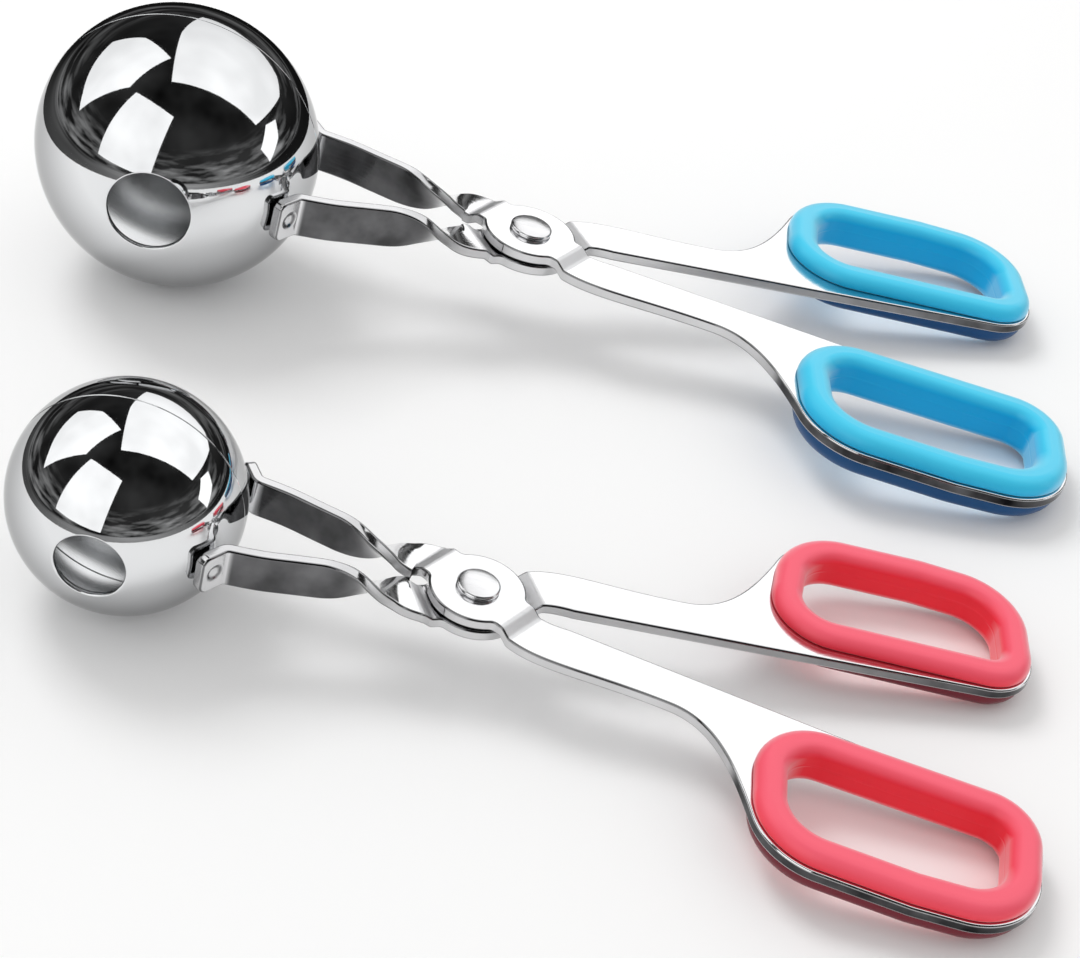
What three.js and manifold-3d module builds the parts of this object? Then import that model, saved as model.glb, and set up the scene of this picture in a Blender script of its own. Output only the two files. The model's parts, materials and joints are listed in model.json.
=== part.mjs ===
// Meatball tongs, a set of two: a large pair with blue grips and a small pair with pink grips.
//
// Each pair is two identical stamped arms, the second turned half a turn about the long axis, on one
// rivet. An arm runs from a tab welded to a half ball, along a strip that twists a quarter turn into
// the flat, over a joggled disc round the rivet, and out to a flat finger loop with a soft grip.
//
// Units are millimetres and +Z is up. A pair's own frame has the rivet on its Z axis, the finger
// loops toward +X and the two half balls at -X, meeting in its XZ plane.
import * as THREE from 'three';
import { mergeVertices } from 'three/addons/utils/BufferGeometryUtils.js';
import Module from 'manifold-3d';

const wasm = await Module();
wasm.setup();

// Sizes of the large pair
const largeTongs = {
  name: 'large',
  ballRadius: 22.5,
  cupWall: 0.9,
  releaseHoleRadius: 6.4,
  ballReach: 58,
  sheet: 1.8,
  discRadius: 7.6,
  neckWidth: 7.8,
  rampLength: 1.8,
  stripWidth: 6.8,
  tabLength: 4.8,
  tabLead: 2.4,
  weldRadius: 1.4,
  weldDepth: 0.35,
  handleWidth: 7.4,
  shoulderLength: 12,
  loopStart: 43.5,
  loopLength: 47.3,
  loopInner: 10,
  loopWidth: 29.3,
  loopBand: 3.8,
  gripInset: 0.5,
  gripWall: 1.5,
  gripHeight: 9.2,
  gripRound: 2.6,
  gripLip: 1.3,
  rivetRadius: 2.2,
  headRadius: 3.4,
  headRim: 0.6,
  headHeight: 1.4,
};

// Sizes of the small pair
const smallTongs = {
  name: 'small',
  ballRadius: 15.6,
  cupWall: 0.8,
  releaseHoleRadius: 4.6,
  ballReach: 46.9,
  sheet: 1.6,
  discRadius: 6.5,
  neckWidth: 6.7,
  rampLength: 1.6,
  stripWidth: 5.8,
  tabLength: 4.2,
  tabLead: 2.1,
  weldRadius: 1.2,
  weldDepth: 0.3,
  handleWidth: 6.2,
  shoulderLength: 10,
  loopStart: 37.3,
  loopLength: 39.6,
  loopInner: 8.3,
  loopWidth: 24.4,
  loopBand: 3.1,
  gripInset: 0.45,
  gripWall: 1.3,
  gripHeight: 7.8,
  gripRound: 2.15,
  gripLip: 1.1,
  rivetRadius: 1.9,
  headRadius: 2.9,
  headRim: 0.5,
  headHeight: 1.2,
};

// How the two pairs lie beside each other: floor left between the widest parts of their finger loops,
// how far the small pair is set back, and the turn of each away from the other
const pairGap = 13.5;
const pairShift = 4;
const fanAngle = THREE.MathUtils.degToRad(2.6);

// Air between pieces that touch on the real tongs, and how far a cutter runs past its face
const fitGap = 0.3;
const cutOverrun = 1;

// Angles of the arm: of its axis over the disc, and of the tab round the ball
const armAngle = THREE.MathUtils.degToRad(30);
const tabAngle = THREE.MathUtils.degToRad(33.5);

// Centre line of the strip between disc and tab: along, as a share of the way from the ramp's end to
// the bend, and sideways, as a share of the bend's distance from the long axis
const stripAlongShares = [0.06, 0.16, 0.3, 0.46, 0.63, 0.81];
const stripSideShares = [0.49, 0.51, 0.525, 0.635, 0.77, 0.915];
const twistEndShare = 0.52;

// Rounded corners of the finger loop: place along and across, and radius as a share of the width
const loopCornerShares = [
  { along: 0.252, across: 0.372, radius: 0.371 },
  { along: 0.814, across: 0.347, radius: 0.272 },
  { along: 0.708, across: 0.568, radius: 0.429 },
  { along: 0.567, across: 0.565, radius: 0.435 },
  { along: 0.291, across: 0.532, radius: 0.426 },
];
const shoulderNormal = THREE.MathUtils.degToRad(160);
const shoulderReachShare = 0.42;

// Fineness of the facets
const discSteps = 14;
const stripSteps = 26;
const bendSteps = 3;
const cornerSteps = 6;
const curveSteps = 8;
const roundSteps = 3;
const cupRings = 7;
const cupSegments = 32;
const pinSegments = 24;
const weldSegments = 12;

const steel = { color: 0xd5d8dc, metalness: 1, roughness: 0.12 };
const gripColours = { large: 0x38b2e6, small: 0xf0566f };

/** Turns a closed geometry into a solid with its faces pointing out. */
function solidOf(geometry) {
  const bare = geometry.clone();
  bare.deleteAttribute('normal');
  bare.deleteAttribute('uv');
  const merged = mergeVertices(bare);
  const corners = merged.attributes.position;
  const triangles = Uint32Array.from(merged.index.array);
  const [a, b, c] = [new THREE.Vector3(), new THREE.Vector3(), new THREE.Vector3()];
  let volume = 0;
  for (let i = 0; i < triangles.length; i += 3) {
    a.fromBufferAttribute(corners, triangles[i]);
    b.fromBufferAttribute(corners, triangles[i + 1]);
    c.fromBufferAttribute(corners, triangles[i + 2]);
    volume += a.dot(b.cross(c));
  }
  if (volume < 0) triangles.reverse();
  return new wasm.Manifold(new wasm.Mesh({
    numProp: 3,
    vertProperties: Float32Array.from(corners.array),
    triVerts: triangles,
  }));
}

/** Makes the named mesh of a solid. */
function meshOf(name, solid, look) {
  const data = solid.getMesh();
  const geometry = new THREE.BufferGeometry();
  geometry.setAttribute('position', new THREE.BufferAttribute(data.vertProperties, data.numProp));
  geometry.setIndex(new THREE.BufferAttribute(data.triVerts, 1));
  geometry.computeVertexNormals();
  const mesh = new THREE.Mesh(geometry, new THREE.MeshStandardMaterial(look));
  mesh.name = name;
  return mesh;
}

/** Joins equal rings of points into a closed skin, either round in a circle or with two flat ends. */
function skin(rings, isRound) {
  const count = rings[0].length;
  const index = [];
  const spans = isRound ? rings.length : rings.length - 1;
  for (let i = 0; i < spans; i += 1) {
    const here = i * count;
    const next = ((i + 1) % rings.length) * count;
    for (let j = 0; j < count; j += 1) {
      const k = (j + 1) % count;
      index.push(here + j, next + j, next + k, here + j, next + k, here + k);
    }
  }
  if (!isRound) {
    const last = spans * count;
    for (let j = 1; j + 1 < count; j += 1) {
      index.push(0, j, j + 1, last, last + j + 1, last + j);
    }
  }
  const geometry = new THREE.BufferGeometry();
  const places = rings.flat().flatMap((point) => [point.x, point.y, point.z]);
  geometry.setAttribute('position', new THREE.Float32BufferAttribute(places, 3));
  geometry.setIndex(index);
  return geometry;
}

/** A unit vector in the plane at an angle from +X. */
function heading(angle) {
  return new THREE.Vector2(Math.cos(angle), Math.sin(angle));
}

/** Evenly spaced values from one end to the other, both included. */
function spread(from, to, steps) {
  return Array.from({ length: steps + 1 }, (_, i) => THREE.MathUtils.lerp(from, to, i / steps));
}

/** Height of the lower disc's middle plane, which leaves the fit gap between the two discs. */
function discLevel(size) {
  return -(size.sheet + fitGap) / 2;
}

/** Distance from the rivet to where an arm, clear of the other disc, has left its own disc's level. */
function rampEnd(size) {
  return size.discRadius + fitGap + size.rampLength;
}

/** Distance from the long axis to the widest part of a finger loop. */
function loopReach(size) {
  return size.loopInner + size.loopWidth;
}

/** The finger loop's corner circles, as centre and radius. */
function loopCorners(size) {
  return loopCornerShares.map((corner) => ({
    centre: new THREE.Vector2(
      size.loopStart + corner.along * size.loopLength,
      size.loopInner + corner.across * size.loopWidth,
    ),
    radius: corner.radius * size.loopWidth,
  }));
}

/** Angle of the outward normal on the line that touches two circles, both on its left. */
function tangentNormal(first, second) {
  const way = second.centre.clone().sub(first.centre);
  const lean = Math.asin((first.radius - second.radius) / way.length());
  return THREE.MathUtils.euclideanModulo(way.angle() - Math.PI / 2 + lean, 2 * Math.PI);
}

/** Points round one corner circle, between two normals and drawn in by an inset. */
function cornerArc(corner, from, to, inset) {
  const end = to < from ? to + 2 * Math.PI : to;
  return spread(from, end, cornerSteps).map((angle) => (
    heading(angle).multiplyScalar(corner.radius - inset).add(corner.centre)
  ));
}

/** The finger loop's whole outline, drawn in by an inset. */
function loopOutline(size, inset) {
  const corners = loopCorners(size);
  return corners.flatMap((corner, i) => {
    const before = corners[(i + corners.length - 1) % corners.length];
    const after = corners[(i + 1) % corners.length];
    return cornerArc(corner, tangentNormal(before, corner), tangentNormal(corner, after), inset);
  });
}

/** Points of a cubic curve between two ends, with a handle at each. */
function bezier(start, startHandle, endHandle, end) {
  return new THREE.CubicBezierCurve(start, startHandle, endHandle, end).getPoints(curveSteps);
}

/** The flat handle: a tapering bar that widens over a hollow shoulder into the finger loop. */
function handlePlate(size) {
  const along = heading(armAngle);
  const across = heading(armAngle + Math.PI / 2).multiplyScalar(size.neckWidth / 2);
  const root = along.clone().multiplyScalar(rampEnd(size));
  const innerRoot = root.clone().sub(across);
  const outerRoot = root.clone().add(across);
  const corners = loopCorners(size);
  const [, farInner, farOuter, middleOuter, nearOuter] = corners;
  const innerNormal = tangentNormal({ centre: innerRoot, radius: 0 }, farInner);
  const endNormal = tangentNormal(farInner, farOuter);
  const topNormal = tangentNormal(farOuter, middleOuter);
  const crestNormal = tangentNormal(middleOuter, nearOuter);
  const loop = [
    ...cornerArc(farInner, innerNormal, endNormal, 0),
    ...cornerArc(farOuter, endNormal, topNormal, 0),
    ...cornerArc(middleOuter, topNormal, crestNormal, 0),
    ...cornerArc(nearOuter, crestNormal, shoulderNormal, 0),
  ];
  const innerEdge = heading(innerNormal + Math.PI / 2);
  const shoulderX = size.loopStart - size.shoulderLength;
  const innerRise = (shoulderX - innerRoot.x) * (innerEdge.y / innerEdge.x);
  const shoulder = new THREE.Vector2(shoulderX, innerRoot.y + innerRise + size.handleWidth);
  const leave = loop.at(-1);
  const reach = shoulderReachShare * size.loopWidth;
  const leaveHandle = heading(shoulderNormal + Math.PI / 2).multiplyScalar(reach).add(leave);
  const shoulderHandle = innerEdge.clone().multiplyScalar(size.shoulderLength / 2).add(shoulder);
  const barLength = shoulder.distanceTo(outerRoot);
  const barHandle = innerEdge.clone().multiplyScalar(-barLength / 2).add(shoulder);
  const rootHandle = along.clone().multiplyScalar(barLength / 4).add(outerRoot);
  const outline = new THREE.Shape([
    innerRoot,
    ...loop,
    ...bezier(leave, leaveHandle, shoulderHandle, shoulder).slice(1),
    ...bezier(shoulder, barHandle, rootHandle, outerRoot).slice(1),
  ]);
  outline.holes.push(new THREE.Path(loopOutline(size, size.loopBand).reverse()));
  const plate = new THREE.ExtrudeGeometry(outline, { depth: size.sheet, bevelEnabled: false });
  plate.translate(0, 0, -size.sheet / 2);
  return plate;
}

/** Where the flat tab lies: it touches the ball, one fit gap off, at its middle. */
function tabPlace(size) {
  const outward = heading(-tabAngle);
  const along = heading(-tabAngle - Math.PI / 2);
  const offset = size.ballRadius + fitGap + size.sheet / 2;
  const middle = outward.clone().multiplyScalar(offset).sub(new THREE.Vector2(size.ballReach, 0));
  const bend = along.clone().multiplyScalar(-size.tabLead).add(middle);
  const tip = along.clone().multiplyScalar(size.tabLength - size.tabLead).add(middle);
  return { outward, middle, bend, tip };
}

/** Stations of the ribbon: centre, direction, height, twist and width from tab tip to handle root. */
function ribbonStations(size) {
  const stations = [];
  const add = (centre, direction, level, twist, width) => {
    stations.push({ centre, direction, level, twist, width });
  };
  const upright = Math.PI / 2;
  const tab = tabPlace(size);
  const start = heading(armAngle).multiplyScalar(-rampEnd(size));
  const keys = stripAlongShares.map((share, i) => new THREE.Vector3(
    THREE.MathUtils.lerp(start.x, tab.bend.x, share),
    stripSideShares[i] * tab.bend.y,
    0,
  ));
  const strip = new THREE.CatmullRomCurve3([
    new THREE.Vector3(tab.bend.x, tab.bend.y, 0),
    ...keys.reverse(),
    new THREE.Vector3(start.x, start.y, 0),
  ]);
  const stripHeading = strip.getTangentAt(0);
  const tabHeading = tab.bend.clone().sub(tab.tip).normalize();
  const bendFrom = tabHeading.angle();
  const bendTo = Math.atan2(stripHeading.y, stripHeading.x);
  const bendBack = tabHeading.clone().multiplyScalar(-size.sheet / 2).add(tab.bend);
  add(tab.tip, tabHeading, 0, upright, size.stripWidth);
  add(bendBack, tabHeading, 0, upright, size.stripWidth);
  for (const angle of spread(bendFrom, bendTo, bendSteps).slice(1, -1)) {
    add(tab.bend, heading(angle), 0, upright, size.stripWidth);
  }
  const ahead = size.sheet / 2 / strip.getLength();
  for (const share of spread(ahead, 1, stripSteps)) {
    const point = strip.getPointAt(share);
    const tangent = strip.getTangentAt(share);
    const left = (1 - share) / twistEndShare;
    const turned = THREE.MathUtils.smoothstep(left, 0, 1);
    const direction = share < 1 ? new THREE.Vector2(tangent.x, tangent.y) : heading(armAngle);
    const width = THREE.MathUtils.lerp(size.neckWidth, size.stripWidth, turned);
    add(new THREE.Vector2(point.x, point.y), direction, 0, turned * upright, width);
  }
  const along = heading(armAngle);
  const crease = size.discRadius + fitGap;
  const neckHalf = Math.asin(size.neckWidth / 2 / size.discRadius);
  const onAxis = (distance) => along.clone().multiplyScalar(distance);
  add(onAxis(-crease), along, discLevel(size), 0, size.neckWidth);
  for (const angle of spread(Math.PI - neckHalf, neckHalf, discSteps)) {
    const width = 2 * size.discRadius * Math.sin(angle);
    add(onAxis(size.discRadius * Math.cos(angle)), along, discLevel(size), 0, width);
  }
  add(onAxis(crease), along, discLevel(size), 0, size.neckWidth);
  add(onAxis(rampEnd(size)), along, 0, 0, size.neckWidth);
  add(onAxis(rampEnd(size) + size.sheet), along, 0, 0, size.neckWidth / 2);
  return stations;
}

/** The arm's tab, twisted strip, ramps and disc, as one ribbon of sheet. */
function armRibbon(size) {
  const up = new THREE.Vector3(0, 0, 1);
  const rings = ribbonStations(size).map(({ centre, direction, level, twist, width }) => {
    const forward = new THREE.Vector3(direction.x, direction.y, 0).normalize();
    const side = new THREE.Vector3().crossVectors(up, forward).applyAxisAngle(forward, -twist);
    const face = new THREE.Vector3().crossVectors(forward, side);
    const middle = new THREE.Vector3(centre.x, centre.y, level);
    const corner = (sideways, upward) => middle.clone()
      .addScaledVector(side, sideways * width / 2)
      .addScaledVector(face, upward * size.sheet / 2);
    return [corner(1, 1), corner(-1, 1), corner(-1, -1), corner(1, -1)];
  });
  return skin(rings, false);
}

/** The lower arm: ribbon and handle in one, bored for the rivet and dimpled at the weld. */
function armSolid(size) {
  const boreRadius = size.rivetRadius + fitGap;
  const boreLength = 2 * (size.sheet + fitGap + cutOverrun);
  const bore = new THREE.CylinderGeometry(boreRadius, boreRadius, boreLength, pinSegments);
  bore.rotateX(Math.PI / 2);
  const { outward, middle } = tabPlace(size);
  const punchRadius = (size.weldRadius ** 2 + size.weldDepth ** 2) / (2 * size.weldDepth);
  const punchOffset = size.sheet / 2 - size.weldDepth + punchRadius;
  const punchCentre = outward.clone().multiplyScalar(punchOffset).add(middle);
  const punch = new THREE.SphereGeometry(punchRadius, weldSegments * 3, weldSegments * 2);
  punch.translate(punchCentre.x, punchCentre.y, 0);
  return solidOf(armRibbon(size)).add(solidOf(handlePlate(size)))
    .subtract(solidOf(bore)).subtract(solidOf(punch));
}

/** One half ball: a thin shell with a round release hole at its pole, open toward +Y. */
function cupSolid(size) {
  const innerRadius = size.ballRadius - size.cupWall;
  const rimAngle = Math.asin(fitGap / 2 / size.ballRadius);
  const shellArc = (radius, from, to) => spread(from, to, cupRings).map((angle) => (
    new THREE.Vector2(radius * Math.cos(angle), -radius * Math.sin(angle))
  ));
  const outerHole = Math.acos(size.releaseHoleRadius / size.ballRadius);
  const innerHole = Math.acos(size.releaseHoleRadius / innerRadius);
  const profile = [
    ...shellArc(size.ballRadius, rimAngle, outerHole),
    ...shellArc(innerRadius, innerHole, rimAngle),
  ];
  const shell = new THREE.LatheGeometry([...profile, profile[0].clone()], cupSegments);
  shell.translate(-size.ballReach, 0, 0);
  return solidOf(shell);
}

/** Points of a rounded corner in the grip's section, from one angle through a quarter turn. */
function sectionCorner(inset, height, radius, from) {
  return spread(from, from + Math.PI / 2, roundSteps).map((angle) => (
    heading(angle).multiplyScalar(radius).add(new THREE.Vector2(inset, height))
  ));
}

/** The grip: a channel of soft plastic that lines the finger loop and laps both its faces. */
function gripSolid(size) {
  const slotFloor = size.loopBand + fitGap;
  const slotHalf = size.sheet / 2 + fitGap;
  const outerTop = size.gripHeight / 2 - size.gripRound;
  const innerTop = size.gripHeight / 2 - size.gripLip;
  const outer = size.gripInset + size.gripRound;
  const inner = slotFloor + size.gripWall - size.gripLip;
  const section = [
    new THREE.Vector2(slotFloor, slotHalf),
    new THREE.Vector2(slotFloor, -slotHalf),
    new THREE.Vector2(size.gripInset, -slotHalf),
    ...sectionCorner(outer, -outerTop, size.gripRound, Math.PI),
    ...sectionCorner(inner, -innerTop, size.gripLip, Math.PI * 3 / 2),
    ...sectionCorner(inner, innerTop, size.gripLip, 0),
    ...sectionCorner(outer, outerTop, size.gripRound, Math.PI / 2),
    new THREE.Vector2(size.gripInset, slotHalf),
  ];
  const outlines = section.map((point) => loopOutline(size, point.x));
  const rings = outlines[0].map((_, i) => section.map((point, j) => (
    new THREE.Vector3(outlines[j][i].x, outlines[j][i].y, point.y)
  )));
  return solidOf(skin(rings, true));
}

/** The rivet: a plain pin with a low button head at each end. */
function rivetSolid(size) {
  const headBase = size.sheet + fitGap / 2 + fitGap;
  const domeHeight = size.headHeight - size.headRim;
  const domeRadius = (size.headRadius ** 2 + domeHeight ** 2) / (2 * domeHeight);
  const domeLean = Math.asin(size.headRadius / domeRadius);
  const domeCentre = headBase + size.headHeight - domeRadius;
  const dome = spread(0, domeLean, curveSteps / 2).map((angle) => (
    new THREE.Vector2(domeRadius * Math.sin(angle), domeCentre + domeRadius * Math.cos(angle))
  ));
  const topHalf = [
    ...dome,
    new THREE.Vector2(size.headRadius, headBase),
    new THREE.Vector2(size.rivetRadius, headBase),
  ];
  const lowHalf = topHalf.map((point) => new THREE.Vector2(point.x, -point.y)).reverse();
  const pin = new THREE.LatheGeometry([...topHalf, ...lowHalf], pinSegments);
  pin.rotateX(Math.PI / 2);
  return solidOf(pin);
}

/** Tilt at which the ball and the far end of the grips rest on the same floor. */
function restTilt(size) {
  const span = size.loopStart + size.loopLength - size.gripInset - size.gripRound + size.ballReach;
  const drop = size.gripHeight / 2 - size.gripRound;
  const rise = size.ballRadius - size.gripRound;
  return Math.asin(rise / Math.hypot(span, drop)) - Math.atan2(drop, span);
}

/** One pair of tongs, lying closed on the floor with its rivet over the origin. */
function tongs(size) {
  const { name } = size;
  const gripLook = { color: gripColours[name], metalness: 0, roughness: 0.3 };
  const arm = armSolid(size);
  const cup = cupSolid(size);
  const grip = gripSolid(size);
  const lower = new THREE.Group();
  lower.add(meshOf(`${name}_arm_lower`, arm, steel));
  lower.add(meshOf(`${name}_cup_front`, cup, steel));
  lower.add(meshOf(`${name}_grip_rear`, grip, gripLook));
  const upper = new THREE.Group();
  upper.add(meshOf(`${name}_arm_upper`, arm, steel));
  upper.add(meshOf(`${name}_cup_rear`, cup, steel));
  upper.add(meshOf(`${name}_grip_front`, grip, gripLook));
  upper.rotation.x = Math.PI;
  const tilt = restTilt(size);
  const pair = new THREE.Group();
  pair.add(lower, upper, meshOf(`${name}_pivot_rivet`, rivetSolid(size), steel));
  pair.rotation.set(0, tilt, 0);
  pair.position.z = size.ballRadius - size.ballReach * Math.sin(tilt);
  const placed = new THREE.Group();
  placed.add(pair);
  return placed;
}

const tongsSet = new THREE.Group();
const largePair = tongs(largeTongs);
largePair.rotation.z = fanAngle;
const smallPair = tongs(smallTongs);
smallPair.rotation.z = -fanAngle;
smallPair.position.set(pairShift, -(loopReach(largeTongs) + pairGap + loopReach(smallTongs)), 0);
tongsSet.add(largePair, smallPair);

// The origin is under the middle of the set, on the floor
const box = new THREE.Box3().setFromObject(tongsSet, true);
const middle = box.getCenter(new THREE.Vector3());
tongsSet.position.set(-middle.x, -middle.y, -box.min.z);

export default tongsSet;
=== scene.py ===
"""Dresses a set of two meatball tongs: a large pair with blue grips and a small pair with pink grips.

Sizes are millimetres in a pair's own frame, which has the rivet on its Z axis, the finger loops
toward +X and the ball at -X. Pieces are made in that frame and placed in the row frame in metres.
"""

import json
import logging
import math
from dataclasses import dataclass, field
from enum import Enum

import bmesh
import bpy
import numpy as np
from mathutils import Matrix, Vector
from mathutils.geometry import tessellate_polygon


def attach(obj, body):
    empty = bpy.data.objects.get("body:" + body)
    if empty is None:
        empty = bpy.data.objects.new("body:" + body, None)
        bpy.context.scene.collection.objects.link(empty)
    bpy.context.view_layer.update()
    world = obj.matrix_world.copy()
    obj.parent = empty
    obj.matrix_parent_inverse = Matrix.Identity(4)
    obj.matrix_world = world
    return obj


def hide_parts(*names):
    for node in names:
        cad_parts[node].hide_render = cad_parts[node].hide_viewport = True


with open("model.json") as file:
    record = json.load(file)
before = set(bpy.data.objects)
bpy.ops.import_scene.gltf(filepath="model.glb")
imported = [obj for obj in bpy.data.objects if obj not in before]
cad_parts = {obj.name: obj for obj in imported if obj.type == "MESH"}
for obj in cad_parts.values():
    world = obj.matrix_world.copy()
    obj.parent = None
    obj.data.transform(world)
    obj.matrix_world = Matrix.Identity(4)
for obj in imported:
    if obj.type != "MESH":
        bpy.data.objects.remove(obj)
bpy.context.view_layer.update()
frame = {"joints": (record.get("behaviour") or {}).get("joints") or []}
MM = 0.001

# Points nearer than this, in the same unit as they are, count as one.
SLIVER = 1e-5

# Points, faces, normals, and the values kept on the points by name.
Made = tuple[np.ndarray, list[tuple[int, ...]], np.ndarray | None, dict[str, np.ndarray]]
Corner = tuple[np.ndarray, float]

logging.basicConfig(level=logging.INFO, format="%(name)s: %(message)s")
log = logging.getLogger("tongs")


class Side(Enum):
    """The two twin arms of a pair, by the turn about the long axis that sets one on the other."""

    LOWER = 1
    UPPER = -1


class Seen(Enum):
    """Which rays a studio piece shows itself to."""

    EVERYWHERE = "everywhere"
    IN_METAL = "in metal"


class GripColour(Enum):
    """The colours of the soft grips."""

    BLUE = "blue"
    PINK = "pink"


# Small helpers on angles, outlines and meshes.


def heading(angle: float) -> np.ndarray:
    """Returns the unit vector in the plane at an angle from +X."""
    return np.array([math.cos(angle), math.sin(angle)])


def smoothstep(value: np.ndarray | float) -> np.ndarray | float:
    """Returns the smooth step from 0 to 1 of a value, held flat outside that range."""
    t = np.clip(value, 0.0, 1.0)
    return t * t * (3 - 2 * t)


def climb(value: np.ndarray, start: float, width: float) -> np.ndarray:
    """Returns a value's smooth climb from 0 at the start to 1 a width further on."""
    return smoothstep((value - start) / width)


def arc_points(centre: np.ndarray, radius: float, angles: np.ndarray) -> list[np.ndarray]:
    """Returns the points of a circle at some angles from +X."""
    return [centre + radius * heading(a) for a in angles]


def walked_lengths(path: np.ndarray) -> np.ndarray:
    """Returns how far along a path each of its points lies."""
    return np.concatenate([[0], np.cumsum(np.linalg.norm(np.diff(path, axis=0), axis=1))])


def bezier(points: list[np.ndarray], steps: int) -> list[np.ndarray]:
    """Samples a Bezier curve.

    Args:
        points: The curve's three or four control points.
        steps: Number of spans.

    Returns:
        The points along it, both ends included.
    """
    samples = []
    for t in np.linspace(0, 1, steps + 1):
        level = list(points)
        while len(level) > 1:
            level = [(1 - t) * a + t * b for a, b in zip(level, level[1:])]
        samples.append(level[0])
    return samples


def centripetal_curve(keys: np.ndarray, per_span: int) -> np.ndarray:
    """Samples the centripetal Catmull-Rom curve through some keys.

    Args:
        keys: Points in the plane, one to a row.
        per_span: Samples between two neighbouring keys.

    Returns:
        Points along the curve, from the first key to the last.
    """
    whole = np.vstack([2 * keys[0] - keys[1], keys, 2 * keys[-1] - keys[-2]])
    samples = [keys[0]]
    for i in range(len(keys) - 1):
        p0, p1, p2, p3 = whole[i:i + 4]
        d0, d1, d2 = (math.sqrt(np.linalg.norm(b - a)) for a, b in ((p0, p1), (p1, p2), (p2, p3)))
        m1 = ((p1 - p0) / d0 - (p2 - p0) / (d0 + d1) + (p2 - p1) / d1) * d1
        m2 = ((p2 - p1) / d1 - (p3 - p1) / (d1 + d2) + (p3 - p2) / d2) * d1
        for t in np.linspace(0, 1, per_span + 1)[1:]:
            square, cube = t * t, t * t * t
            samples.append(
                p1 + m1 * t
                + (3 * (p2 - p1) - 2 * m1 - m2) * square
                + (2 * (p1 - p2) + m1 + m2) * cube
            )
    return np.array(samples)


def offset_normals(outline: np.ndarray) -> tuple[np.ndarray, np.ndarray]:
    """Finds which way an outline's corners point away from its filled side.

    Args:
        outline: Corners of a closed outline, its filled side on the left.

    Returns:
        Unit normals, and the vectors that move the outline outward by one.
    """
    ahead = np.roll(outline, -1, axis=0) - outline
    ahead /= np.linalg.norm(ahead, axis=1)[:, None]
    normal_after = np.column_stack([ahead[:, 1], -ahead[:, 0]])
    normal_before = np.roll(normal_after, 1, axis=0)
    total = normal_after + normal_before
    mitre = total / (1 + np.sum(normal_after * normal_before, axis=1))[:, None]
    return total / np.linalg.norm(total, axis=1)[:, None], mitre


def winds_outward(points: np.ndarray, faces: list[tuple[int, ...]], normals: np.ndarray) -> bool:
    """Tells whether the faces wind the way that their corners' normals point.

    Args:
        points: Corners of the mesh.
        faces: Corner numbers of each face.
        normals: Unit normals of the corners.

    Returns:
        True if most faces agree with the normals.
    """
    a, b, c = (np.array([face[i] for face in faces]) for i in range(3))
    facing = np.cross(points[b] - points[a], points[c] - points[a])
    return float(np.sum(facing * normals[a])) > 0


def make_piece(
    name: str,
    points: np.ndarray,
    faces: list[tuple[int, ...]],
    normals: np.ndarray | None,
    stores: dict[str, np.ndarray] | None = None,
) -> bpy.types.Object:
    """Makes a smooth mesh object.

    Args:
        name: Name of the piece.
        points: Corners in the row frame, in metres.
        faces: Corner numbers of each face.
        normals: Unit normals of the corners, or None for Blender's own.
        stores: Vectors or values kept on the corners for the finishes, by name.

    Returns:
        The new object, linked to the scene.
    """
    if normals is not None and not winds_outward(points, faces, normals):
        faces = [face[::-1] for face in faces]
    mesh = bpy.data.meshes.new(name)
    mesh.from_pydata([tuple(p) for p in points], [], faces)
    mesh.polygons.foreach_set("use_smooth", [True] * len(mesh.polygons))
    for key, values in (stores or {}).items():
        held = np.asarray(values, np.float32)
        layer = mesh.attributes.new(key, "FLOAT_VECTOR" if held.ndim == 2 else "FLOAT", "POINT")
        layer.data.foreach_set("vector" if held.ndim == 2 else "value", held.ravel())
    if normals is not None:
        mesh.normals_split_custom_set_from_vertices([tuple(n) for n in normals])
    mesh.validate()
    piece = bpy.data.objects.new(name, mesh)
    bpy.context.scene.collection.objects.link(piece)
    return piece


def grid_faces(rows: int, columns: int, rows_close: bool, columns_close: bool) -> list[tuple[int, ...]]:
    """Lists the quads of a grid of corners.

    Args:
        rows: Number of rows.
        columns: Number of corners in a row.
        rows_close: Whether the last row joins the first.
        columns_close: Whether each row's last corner joins its first.

    Returns:
        The quads as corner numbers.
    """
    faces = []
    for i in range(rows if rows_close else rows - 1):
        for j in range(columns if columns_close else columns - 1):
            k, m = (i + 1) % rows, (j + 1) % columns
            faces.append((i * columns + j, i * columns + m, k * columns + m, k * columns + j))
    return faces


# Sizes and the frame of a pair.


@dataclass(frozen=True)
class PairSizes:
    """Sizes of one pair of tongs, in millimetres, after those of its solids."""

    name: str
    ball_radius: float
    cup_wall: float
    hole_radius: float
    ball_reach: float
    sheet: float
    disc_radius: float
    neck_width: float
    ramp_length: float
    strip_width: float
    tab_length: float
    tab_lead: float
    weld_radius: float
    weld_depth: float
    handle_width: float
    shoulder_length: float
    loop_start: float
    loop_length: float
    loop_inner: float
    loop_width: float
    loop_band: float
    grip_inset: float
    grip_wall: float
    grip_height: float
    grip_round: float
    grip_lip: float
    rivet_radius: float
    head_radius: float
    head_height: float
    fit_gap: float = 0.3

    @property
    def disc_level(self) -> float:
        """Height of the lower disc's middle plane."""
        return -(self.sheet + self.fit_gap) / 2

    @property
    def crease(self) -> float:
        """Distance from the rivet to where the ramps start."""
        return self.disc_radius + self.fit_gap

    @property
    def ramp_end(self) -> float:
        """Distance from the rivet to where the ramps end."""
        return self.crease + self.ramp_length


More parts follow.
